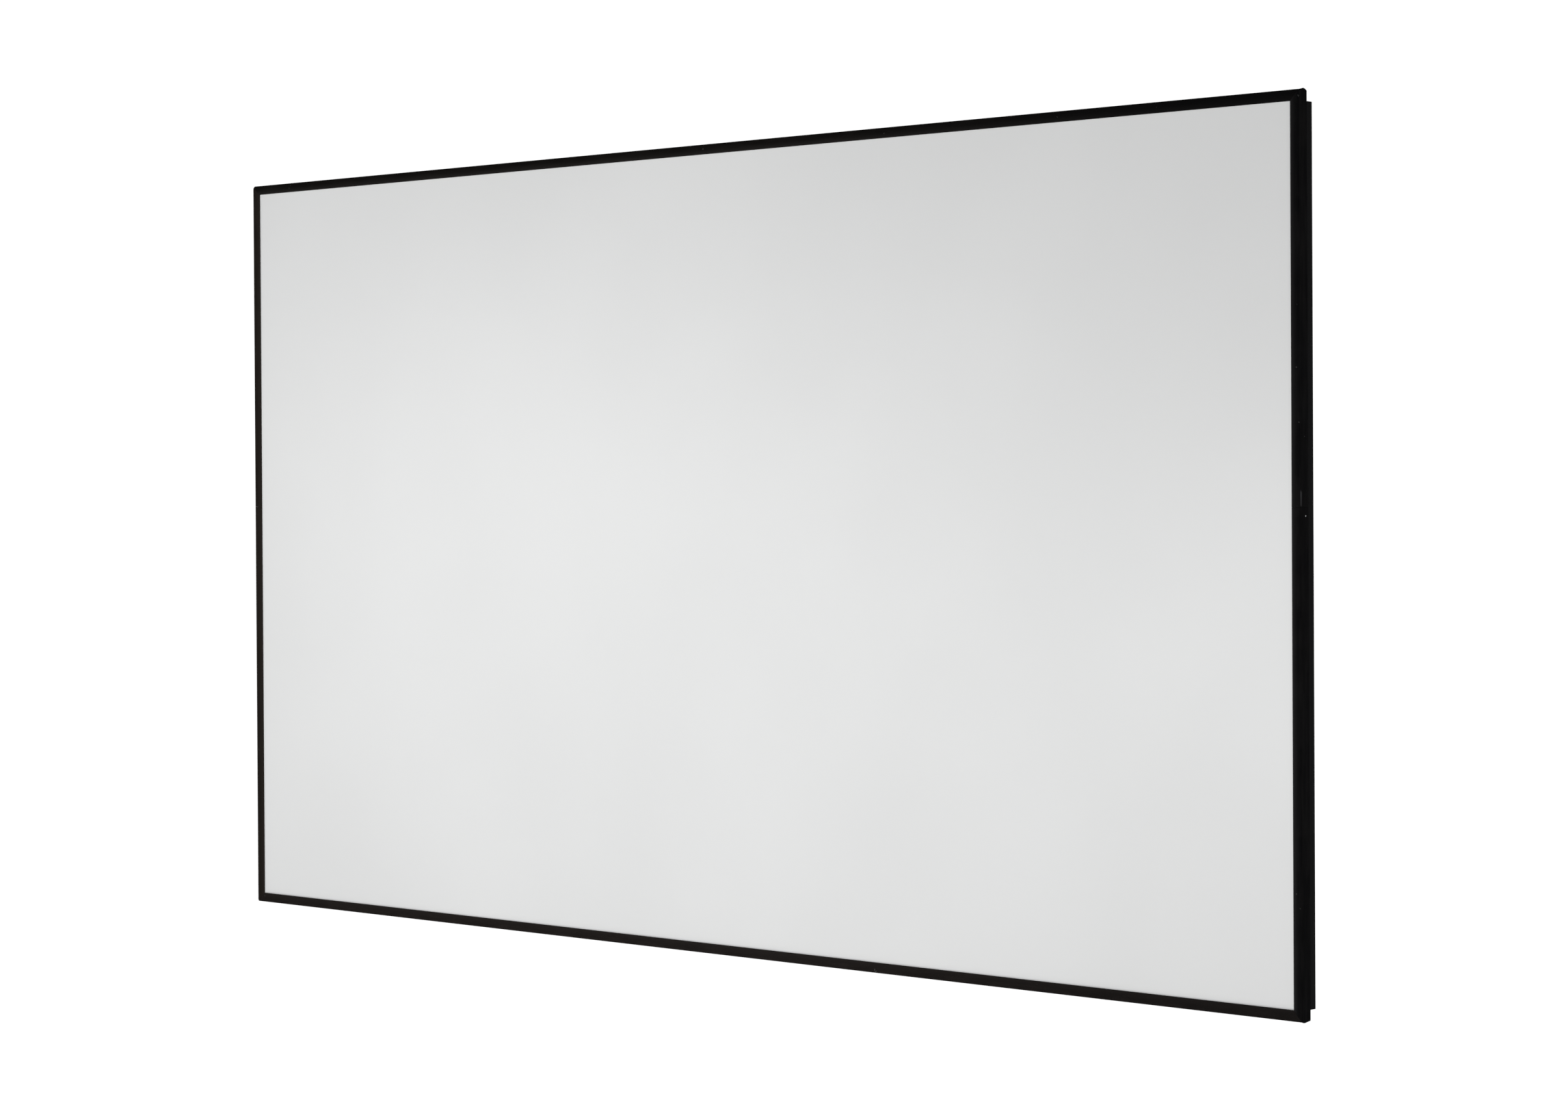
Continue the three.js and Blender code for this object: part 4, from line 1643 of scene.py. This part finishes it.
        # the slope attribute holds each point's share of painted sheen
        note(wire, "slope", [self.slope_at(point) for point in outline])
        note(wire, "edge", [float(self.is_front_edge(point)) for point in outline])
        return wire

    def length_wire(self, side: Side, half: Half) -> bpy.types.Mesh:
        """One length as a wire from its corner to its seam that notes what each station needs.

        Args:
            side: the length's side.
            half: the length.

        Returns:
            The wire.
        """
        length = half.end - half.start + self.section.clearance / 2 - self.joint_gap
        count = max(2, round(length / self.line_gap))
        stations = [(back, by, 1.0) for back, by in self.roll]
        stations += [(back, 0.0, 1.0) for back in self.corner_lines]
        stations += [(length * i / count, 0.0, 0.0) for i in range(1, count)]
        stations += [(length - back, 0.0, 0.0) for back in reversed(self.seam_lines)]
        stations += [(length - back, by, 0.0) for back, by in reversed(self.roll)]
        wire = wire_from("trim_length", [Vector((0.0, 0.0, -back)) for back, _, _ in stations])
        # worn pile with a painted highlight runs along the upper right length's front edge, above
        # its seam
        has_wear_and_highlight = side.edge is Edge.RIGHT and half.word == "upper"
        wear_and_highlight_from = length - self.seam_lines[1] - MM / 2
        note(wire, "tuck", [by for _, by, _ in stations])
        note(wire, "mitred", [mitred for _, _, mitred in stations])
        worn = [has_wear_and_highlight and wear_and_highlight_from < back < length - MM / 2 for back, _, _ in stations]
        note(wire, "wear", [float(here) for here in worn])
        return wire

    def slope_at(self, point: Vector) -> float:
        """How strongly a point of the section takes the painted sheen, the paler tone that stands
        in for light from the white cloth.

        Args:
            point: a point of the section.

        Returns:
            The share of the painted sheen.
        """
        if point.x > self.section.face_width - SAME_PLACE:
            return self.wall_slope
        return max(0.0, 1.0 - max(point.x, 0.0) / self.painted_sheen_width) ** 2

    def is_front_edge(self, point: Vector) -> bool:
        """Whether a point of the section lies on the face's outer edge or just behind it."""
        return point.x > self.section.face_width - self.wear_and_highlight_face and point.y < self.wear_and_highlight_side

    def build(self) -> None:
        """Makes the eight lengths and puts each in place of its node."""
        section = placed("trim_section", self.section_wire())
        tree = self.tree(section)
        for side in self.sides:
            finish = LIT_AND_SHADED_VELVETS[side.edge]
            for half in side.halves():
                radius, rise, depth = self.fold_of(side, half).value
                mesh = tree.run(
                    self.length_wire(side, half),
                    finish,
                    Fold_Radius=radius,
                    Rise=rise,
                    Rise_Depth=depth,
                    Rise_Outwards=float(side.is_lying),
                )
                corner = half.end if half.outward > 0 else half.start
                turn = Matrix.Diagonal((1.0, 1.0, half.outward, 1.0))
                mesh.transform(side.matrix() @ Matrix.Translation((0.0, 0.0, corner)) @ turn)
                mesh.name = f"trim_{side.name}_{half.word}"
                finish.put_on(mesh)
                show(smooth(face_out(mesh)), [f"bezel_{side.name}_{half.word}"])
        bpy.data.objects.remove(section)


@dataclass(frozen=True)
class StrayFibres:
    """Pale curled fibres that lie on the velvet's face."""

    section: Section
    sides: list[Side]
    trims: Trims
    radius: float = 2.0 * MM
    wire: float = 0.24 * MM
    sweep: float = math.radians(215)
    steps: int = 14
    wire_sides: int = 5
    scattered: int = 14
    scattered_out: Band = (3 * MM, 13 * MM)
    scattered_size: Band = (0.2, 0.45)
    seed: int = 5
    placed: tuple[tuple[Edge, float, float, float], ...] = (
        (Edge.BOTTOM, 10.8 * MM, 346 * MM, 1.0),
        (Edge.TOP, 7.8 * MM, 7.3 * MM, 0.55),
        (Edge.RIGHT, 14.2 * MM, 628.2 * MM, 0.5),
    )

    def tree(self) -> GeometryTree:
        """A tree that lays one curled fibre at each point, turned at random.

        Returns:
            The tree.
        """
        sizes = {"Radius": self.radius, "Wire": self.wire, "Sweep": self.sweep, "Seed": self.seed}
        tree = GeometryTree("stray_fibres", sizes)
        graph, given = tree.graph, tree.given
        inputs = {
            "Resolution": self.steps,
            "Radius": given["Radius"],
            "Sweep Angle": given["Sweep"],
        }
        curl = graph.node("GeometryNodeCurveArc", inputs, mode="RADIUS")["Curve"]
        fibre = graph.swept(curl, graph.circle(self.wire_sides, given["Wire"] * 0.5))
        inputs = {0: (UPRIGHT, 0.0, 0.0), 1: (UPRIGHT, math.tau, 0.0), "Seed": given["Seed"]}
        turn = graph.node("FunctionNodeRandomValue", inputs, data_type="FLOAT_VECTOR")[0]
        scale = graph.named("scale")
        return tree.close(graph.repeated(fibre, given["Geometry"], Rotation=turn, Scale=scale))

    def places(self) -> list[tuple[Vector, float]]:
        """Where the fibres lie and how large each is.

        Returns:
            The place and the scale of each fibre.
        """
        chance = random.Random(self.seed)
        found = [(self.sides[edge.value], *rest) for edge, *rest in self.placed]
        for _ in range(self.scattered):
            side = self.sides[chance.randrange(len(self.sides))]
            out = chance.uniform(*self.scattered_out)
            along = chance.uniform(-side.span, side.span)
            found.append((side, out, along, chance.uniform(*self.scattered_size)))
        return [
            (side.place(out, self.trims.face_depth(out) - self.wire / 2, along), scale)
            for side, out, along, scale in found
        ]

    def build(self) -> None:
        """Makes the fibres as one piece."""
        places = self.places()
        points = mesh_from("fibre_points", [place for place, _ in places])
        note(points, "scale", [scale for _, scale in places])
        mesh = self.tree().run(points, FIBRE)
        mesh.name = "stray_fibres"
        FIBRE.put_on(mesh)
        show(smooth(mesh))


# The frame behind the cloth


@dataclass(frozen=True)
class RailFrame:
    """Rails, splice keys, corner keys and corner blocks, which keep their CAD shapes."""

    sides: list[Side]

    def build(self) -> None:
        """Puts a finish on each CAD node that stays."""
        for side in self.sides:
            finish = RAIL_LYING if side.is_lying else RAIL_STANDING
            for half in side.halves():
                self.dress(f"rail_{side.name}_{half.word}", finish)
            self.dress(f"splice_key_{side.name}", CAST_ALLOY)
        for corner in ("top_left", "top_right", "bottom_left", "bottom_right"):
            self.dress(f"corner_key_{corner}", CAST_ALLOY)
            self.dress(f"corner_block_{corner}", PLASTIC)

    def dress(self, node: str, finish: Finish) -> None:
        """Gives one CAD node its finish."""
        finish.put_on(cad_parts[node].data)
        log.info("%s: CAD node with %s", node, finish.name)


@dataclass(frozen=True)
class RefinedCopies:
    """Small rigid pieces whose CAD shape is right and only wants softer edges."""

    bevel: float = 0.25 * MM
    segments: int = 2
    sharp: float = math.radians(40)
    flat: float = 0.01
    weld: float = 0.005 * MM

    def build(self) -> None:
        """Makes each copy and puts it in place of its node."""
        self.copy("centre_brace", "rail", RAIL_STANDING)
        for end in ("top", "bottom"):
            self.copy(f"brace_end_{end}", "plastic", PLASTIC)
        for half in ("left", "right"):
            self.copy(f"wall_hanger_{half}", "steel", ZINC)
            self.copy(f"wall_clip_{half}", "steel", ZINC)

    def copy(self, node: str, slot: str, finish: Finish) -> None:
        """Copies a CAD node, merges its triangles and bevels its edges.

        Args:
            node: the node's name.
            slot: its material slot.
            finish: its finish.
        """
        shell = bmesh.new()
        shell.from_mesh(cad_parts[node].data)
        bmesh.ops.remove_doubles(shell, verts=shell.verts, dist=self.weld)
        inner = [edge for edge in shell.edges if edge.is_manifold]
        flat = [edge for edge in inner if edge.calc_face_angle() < self.flat]
        bmesh.ops.dissolve_edges(shell, edges=flat, use_verts=False)
        bmesh.ops.recalc_face_normals(shell, faces=shell.faces)
        mesh = bpy.data.meshes.new(f"{node}_finished")
        shell.to_mesh(mesh)
        shell.free()
        finish.put_on(mesh)
        piece = show(smooth(mesh), [node])
        edge = piece.modifiers.new("softened_edges", "BEVEL")
        edge.width = self.bevel
        edge.segments = self.segments
        edge.limit_method = "ANGLE"
        edge.angle_limit = self.sharp
        edge.use_clamp_overlap = True


# Rods and springs


@dataclass(frozen=True)
class TensionSets:
    """On each side, a rod in the hem and springs that pull it towards the rail's fin."""

    section: Section
    sides: list[Side]
    cloth: StretchedCloth
    rod_setback: float = 10.0 * MM
    rod_chamfer: float = 0.6 * MM
    rod_sides: int = 28
    rod_edge_angle: float = math.radians(35)
    wire: float = 0.9 * MM
    wire_sides: int = 6
    coil_diameter: float = 5.0 * MM
    coil_length: float = 12.5 * MM
    coil_turns: float = 13.0
    coil_steps: int = 14
    coil_lead: float = 0.5
    eye: tuple[float, float] = (math.pi * 2.25, math.pi * 1.2)
    eye_step: float = math.radians(18)
    rod_to_coil: float = 4.1 * MM
    axis_drop: float = 1.3 * MM
    rail_wall: float = 1.6 * MM
    fin_tip: float = 32.4 * MM
    hook_fall: float = 2.5 * MM

    def spring_line(self) -> list[Vector]:
        """The wire's centre from the eye on the rod, through the coils, to the hook on the fin.

        Returns:
            The line's points, with the rod along Z.
        """
        rod, wire = self.cloth.rod, self.wire
        axis = rod.y - self.axis_drop
        loop = (self.cloth.rod_diameter + wire) / 2
        line = [point.to_3d() for point in arc(rod, loop, *self.eye, self.eye_step)]
        start = rod.x - self.rod_to_coil
        radius = (self.coil_diameter - wire) / 2
        steps = round(self.coil_turns * self.coil_steps)
        for i in range(steps + 1):
            turn = i / self.coil_steps
            spread = min(1.0, turn / self.coil_lead, (self.coil_turns - turn) / self.coil_lead)
            angle = math.tau * turn
            out = radius * (1 - (1 - spread) ** 2)
            u = start - self.coil_length * i / steps
            line.append(Vector((u, axis + out * math.cos(angle), out * math.sin(angle))))
        crest = self.fin_tip + wire / 2 + self.section.clearance
        inside = self.rail_wall - self.section.rail_reach
        outside = -self.section.rail_reach - wire / 2 - self.section.clearance
        end = start - self.coil_length
        hook = (
            (end - wire, axis + 0.5 * wire),
            (end - 2.4 * wire, axis + 1.6 * wire),
            (inside + 1.1 * wire, crest - 0.75 * wire),
            (inside + 0.2 * wire, crest - 0.1 * wire),
            (inside - self.rail_wall / 2, crest + 0.15 * wire),
            (outside + 0.3 * wire, crest - 0.2 * wire),
            (outside, crest - 0.9 * wire),
            (outside - 0.1 * wire, crest - self.hook_fall),
        )
        return line + [Vector((u, v, 0.0)) for u, v in hook]

    def tree(self) -> GeometryTree:
        """A tree that sweeps a wire along a line and repeats it along the side.

        Returns:
            The tree.
        """
        tree = GeometryTree("repeated_wire", {
            "Wire Radius": self.wire / 2,
            "Wire Sides": self.wire_sides,
            "Count": 2,
            "First": 0.0,
            "Gap": self.section.spring_pitch,
        })
        graph, given = tree.graph, tree.given
        line = graph.node("GeometryNodeMeshToCurve", {"Mesh": given["Geometry"]})["Curve"]
        wire = graph.swept(line, graph.circle(given["Wire Sides"], given["Wire Radius"]))
        spring = graph.node("GeometryNodeSetShadeSmooth", {"Geometry": wire})["Geometry"]
        row = graph.row(given["Count"], given["First"], given["Gap"])
        return tree.close(graph.repeated(spring, row))

    def rod_mesh(self, side: Side) -> bpy.types.Mesh:
        """A round rod with chamfered ends.

        Args:
            side: the rod's side.

        Returns:
            The rod, along Z.
        """
        rod, radius = self.cloth.rod, self.cloth.rod_diameter / 2
        reach = side.span - self.rod_setback
        chamfer = self.rod_chamfer
        stations = [
            (-reach, radius - chamfer), (chamfer - reach, radius), (0.0, radius),
            (reach - chamfer, radius), (reach, radius - chamfer),
        ]
        step = math.tau / self.rod_sides
        rings = [
            [Vector((point.x, point.y, w)) for point in arc(rod, size, 0.0, math.tau, step)[:-1]]
            for w, size in stations
        ]
        return smooth(tube("rod", rings), self.rod_edge_angle)

    def build(self) -> None:
        """Makes one piece for each side."""
        tree = self.tree()
        line = wire_from("spring_line", self.spring_line())
        for side in self.sides:
            places = self.section.spring_places(side.span)
            gap = places[1] - places[0]
            counts = {"Count": len(places), "First": places[0], "Gap": gap}
            springs = tree.run(line.copy(), SPRING_STEEL, **counts)
            whole = joined(f"tension_set_{side.name}", [springs, self.rod_mesh(side)])
            whole.transform(side.matrix())
            SPRING_STEEL.put_on(whole)
            show(whole, [f"tension_rod_{side.name}"])


# Hem stitches


@dataclass(frozen=True)
class HemStitches:
    """A row of stitches along each hem, between the strip and its allowance."""

    sides: list[Side]
    cloth: StretchedCloth
    pitch: float = 3.6 * MM
    length: float = 2.5 * MM
    thread: float = 0.36 * MM
    arch: float = 0.12 * MM
    line: float = 4.2 * MM
    end_gap: float = 9.0 * MM
    steps: int = 4
    thread_sides: int = 5

    def tree(self) -> GeometryTree:
        """A tree that repeats one arched stitch along the line of the seam.

        Returns:
            The tree.
        """
        tree = GeometryTree("hem_stitching", {
            "Thread Radius": self.thread / 2,
            "Stitch Length": self.length,
            "Arch": self.arch,
            "Pitch": self.pitch,
            "Count": 2,
        })
        graph, given = tree.graph, tree.given
        half = given["Stitch Length"] * 0.5
        bow = graph.node("GeometryNodeCurveQuadraticBezier", {
            "Resolution": self.steps,
            "Start": graph.vector(Z=half * -1.0),
            "Middle": graph.vector(Y=given["Arch"] * 2.0),
            "End": graph.vector(Z=half),
        })["Curve"]
        stitch = graph.swept(bow, graph.circle(self.thread_sides, given["Thread Radius"]))
        first = given["Pitch"] * (given["Count"] - 1.0) * -0.5
        return tree.close(graph.repeated(stitch, graph.row(given["Count"], first, given["Pitch"])))

    def build(self) -> None:
        """Makes the four rows as one piece."""
        tree = self.tree()
        seat = self.cloth.on_strip(self.line, -self.cloth.thickness / 2)
        on_hem = Matrix.Translation(seat.to_3d()) @ Matrix.Rotation(self.cloth.hem_slope, 4, "Z")
        rows = []
        for side in self.sides:
            count = int(2 * (side.span - self.end_gap) / self.pitch)
            row = tree.run(mesh_from("stitch_source", []), THREAD, Count=count)
            row.transform(side.matrix() @ on_hem)
            rows.append(row)
        mesh = joined("hem_stitches", rows)
        THREAD.put_on(mesh)
        show(mesh)


# Screws


@dataclass(frozen=True)
class Screws:
    """Set screws in the back of the rails, and one small side screw at each seam of the trims.

    The head's profile gives, for each ring, its radius as a share of the diameter, its level as a
    share of the height, and whether it is a hexagon, as the socket is.
    """

    section: Section
    sides: list[Side]
    set_diameter: float = 5.0 * MM
    set_height: float = 0.9 * MM
    set_line: float = -9.2 * MM
    set_floor: float = 25.0 * MM
    seam_places: tuple[float, ...] = (25 * MM, 60 * MM)
    corner_places: tuple[float, ...] = (30 * MM, 65 * MM)
    side_diameter: float = 2.0 * MM
    side_height: float = 0.4 * MM
    side_line: float = 12.6 * MM
    side_from_seam: float = 12.0 * MM
    head_sides: int = 24
    head_profile: tuple[tuple[float, float, bool], ...] = (
        (0.5, -0.2, False),
        (0.5, 0.7, False),
        (0.35, 1.0, False),
        (0.3024, 1.0, True),
        (0.27, 0.85, True),
        (0.27, 0.1, True),
    )
    edge_angle: float = math.radians(32)
    seed: int = 7

    def head(self, diameter: float, height: float) -> bpy.types.Mesh:
        """A flat head with a hexagon socket, its axis along Z and its seat at zero.

        Args:
            diameter: the head's diameter.
            height: its height above the seat.

        Returns:
            The head.
        """
        rings = []
        for share, level, is_hexagon in self.head_profile:
            ring = []
            for i in range(self.head_sides):
                angle = math.tau * i / self.head_sides
                from_flat = math.remainder(angle, SIXTH) if is_hexagon else SIXTH / 2
                radius = share * diameter * math.cos(SIXTH / 2) / math.cos(from_flat)
                across, up = radius * math.cos(angle), radius * math.sin(angle)
                ring.append(Vector((across, up, level * height)))
            rings.append(ring)
        return smooth(tube("screw_head", rings), self.edge_angle)

    def tree(self, head: bpy.types.Object) -> GeometryTree:
        """A tree that stands a screw head, turned at random, on each point it is given.

        Args:
            head: the object that holds the head.

        Returns:
            The tree.
        """
        tree = GeometryTree("row_of_screws", {"Head": head, "Turn": Euler(), "Seed": self.seed})
        graph, given = tree.graph, tree.given
        inputs = {"Min": 0.0, "Max": math.tau, "Seed": given["Seed"]}
        spin = graph.node("FunctionNodeRandomValue", inputs, data_type="FLOAT")[1]
        inputs = {"Rotation": given["Turn"], "Rotate By": graph.vector(Z=spin)}
        turn = graph.node("FunctionNodeRotateRotation", inputs, rotation_space="LOCAL")
        heads = graph.repeated(
            graph.shape_of(given["Head"]), given["Geometry"], Rotation=turn["Rotation"]
        )
        return tree.close(heads)

    def set_seats(self, side: Side) -> list[Vector]:
        """Where the set screws of one side stand, on either side of its seam and by its corners.

        Args:
            side: the side.

        Returns:
            The seats.
        """
        places = [side.seam + sign * gap for gap in self.seam_places for sign in (-1, 1)]
        places += [sign * (side.span - gap) for gap in self.corner_places for sign in (-1, 1)]
        return [Vector((self.set_line, self.set_floor, place)) for place in places]

    def side_seats(self, side: Side) -> list[Vector]:
        """Where the one side screw of a side stands.

        Args:
            side: the side.

        Returns:
            The seat, alone in a list.
        """
        down = -1 if side.edge in (Edge.RIGHT, Edge.BOTTOM) else 1
        place = side.seam + down * self.side_from_seam
        return [Vector((self.section.face_width, self.side_line, place))]

    def build(self) -> None:
        """Makes the set screws as one piece and the side screws as another."""
        set_head = placed("set_screw", self.head(self.set_diameter, self.set_height))
        side_head = placed("side_screw", self.head(self.side_diameter, self.side_height))
        tree = self.tree(set_head)
        inwards, outwards = Euler((-UPRIGHT, 0.0, 0.0)), Euler((0.0, UPRIGHT, 0.0))
        for name, head, seats, turn, finish in (
            ("rail_set_screws", set_head, self.set_seats, inwards, BLACK_SCREW),
            ("trim_side_screws", side_head, self.side_seats, outwards, ZINC),
        ):
            rows = []
            for side in self.sides:
                row = tree.run(mesh_from("seats", seats(side)), finish, Head=head, Turn=turn)
                row.transform(side.matrix())
                rows.append(row)
            mesh = joined(name, rows)
            finish.put_on(mesh)
            show(mesh)
            bpy.data.objects.remove(head)


# Studio


@dataclass(frozen=True)
class SoftBox:
    """A rectangular light that points at a spot."""

    name: str
    place: Colour
    aim: Colour
    size: tuple[float, float]
    power: float
    colour: Colour = (1.0, 1.0, 1.0)

    def build(self) -> None:
        """Adds the light to the scene."""
        lamp = bpy.data.lights.new(self.name, "AREA")
        lamp.shape = "RECTANGLE"
        lamp.size, lamp.size_y = self.size
        lamp.energy = self.power
        lamp.color = self.colour
        light = placed(self.name, lamp)
        light.location = self.place
        towards = Vector(self.aim) - Vector(self.place)
        light.rotation_euler = towards.to_track_quat("-Z", "Y").to_euler()


SOFT_BOXES = (
    SoftBox("wide_front", (0.08, -0.906, -0.142), (-0.174, 0.0, -0.3), (3.166, 0.7), 3.6),
    SoftBox("upper_front", (-0.619, -1.0, 0.311), (-0.585, 0.0, -0.6), (1.86, 0.416), 3.58),
)


@dataclass(frozen=True)
class StudioFloor(Finish):
    """A pale floor that glows a little, so that it stays white to the horizon."""

    name: str = "studio_floor"
    colour: Colour = (0.82, 0.82, 0.82)
    roughness: float = 0.9
    cloud_colour: Colour = (0.8, 0.8, 0.8)
    cloud_scale: float = 0.6
    cloud_band: Band = (0.3, 0.7)
    glow: float = 0.9

    def constants(self) -> dict[str, object]:
        """Adds the glow."""
        glow = {"Emission Color": (1.0, 1.0, 1.0, 1.0), "Emission Strength": self.glow}
        return {**super().constants(), **glow}

    def dress(self, graph: NodeGraph) -> dict[str, Value]:
        """Faint clouds."""
        clouds = graph.noise(graph.place(), self.cloud_scale).ramp(*self.cloud_band)
        return {"Base Color": graph.mix(clouds, self.colour, self.cloud_colour)}


@dataclass(frozen=True)
class Studio:
    """A white room: a pale floor, a bright horizon, a dim ceiling and two soft boxes."""

    boxes: tuple[SoftBox, ...] = SOFT_BOXES
    floor_height: float = -1.05
    floor_reach: float = 60.0
    horizon_glow: float = 1.06
    ceiling_glow: float = 0.12
    horizon_top: float = 0.16
    ceiling_start: float = 0.27

    def floor(self) -> None:
        """A wide pale floor below the screen."""
        far = self.floor_reach
        ends = ((-far, -far), (far, -far), (far, far), (-far, far))
        corners = [Vector((x, y, self.floor_height)) for x, y in ends]
        mesh = mesh_from("studio_floor", corners, [(0, 1, 2, 3)])
        StudioFloor().put_on(mesh)
        placed("studio_floor", mesh)

    def surroundings(self) -> None:
        """White round the horizon, and dimmer overhead."""
        world = bpy.data.worlds.new("studio_room")
        world.use_nodes = True
        bpy.context.scene.world = world
        graph = NodeGraph(world.node_tree)
        direction = graph.node("ShaderNodeTexCoord")["Generated"]
        overhead = graph.axes(direction)["Z"].ramp(self.horizon_top, self.ceiling_start)
        strength = self.horizon_glow - overhead * (self.horizon_glow - self.ceiling_glow)
        inputs = {"Color": (1.0, 1.0, 1.0, 1.0), "Strength": strength}
        light = graph.node("ShaderNodeBackground", inputs)["Background"]
        graph.node("ShaderNodeOutputWorld", {"Surface": light})

    def build(self) -> None:
        """Builds the floor, the surroundings and the soft boxes."""
        self.floor()
        self.surroundings()
        for box in self.boxes:
            box.build()
        bpy.context.scene.view_settings.view_transform = "Standard"
        bpy.context.scene.view_settings.look = "None"


@dataclass(frozen=True)
class Viewpoint:
    """The camera, at the photograph's place."""

    place: Colour = (3.95396, -4.14104, 0.10546)
    yaw: float = math.radians(42.7121)
    elevation: float = math.radians(-0.5637)
    roll: float = math.radians(-0.3255)
    lens: float = 83.053
    sensor: float = 36.0
    shift: tuple[float, float] = (-0.00022, -0.02416)
    clip: tuple[float, float] = (0.1, 200.0)

    def build(self) -> None:
        """Adds the camera and makes it the scene's own."""
        data = bpy.data.cameras.new("photo_view")
        data.lens = self.lens
        data.sensor_width = self.sensor
        data.sensor_fit = "HORIZONTAL"
        data.shift_x, data.shift_y = self.shift
        data.clip_start, data.clip_end = self.clip
        camera = placed("photo_view", data)
        turn = Matrix.Rotation(self.yaw, 4, "Z")
        turn @= Matrix.Rotation(UPRIGHT + self.elevation, 4, "X")
        turn @= Matrix.Rotation(self.roll, 4, "Z")
        camera.matrix_world = Matrix.Translation(self.place) @ turn
        bpy.context.scene.camera = camera


def main() -> None:
    """Builds the whole scene, from the camera to the last screw."""
    logging.basicConfig(level=logging.INFO, format="%(name)s: %(message)s")
    section = Section.from_model()
    sides = make_sides(section)
    Viewpoint().build()
    Studio().build()
    cloth = StretchedCloth(section, sides)
    cloth.build()
    trims = Trims(section, sides)
    trims.build()
    StrayFibres(section, sides, trims).build()
    RailFrame(sides).build()
    RefinedCopies().build()
    TensionSets(section, sides, cloth).build()
    HemStitches(sides, cloth).build()
    Screws(section, sides).build()


if __name__ == "__main__":
    main()
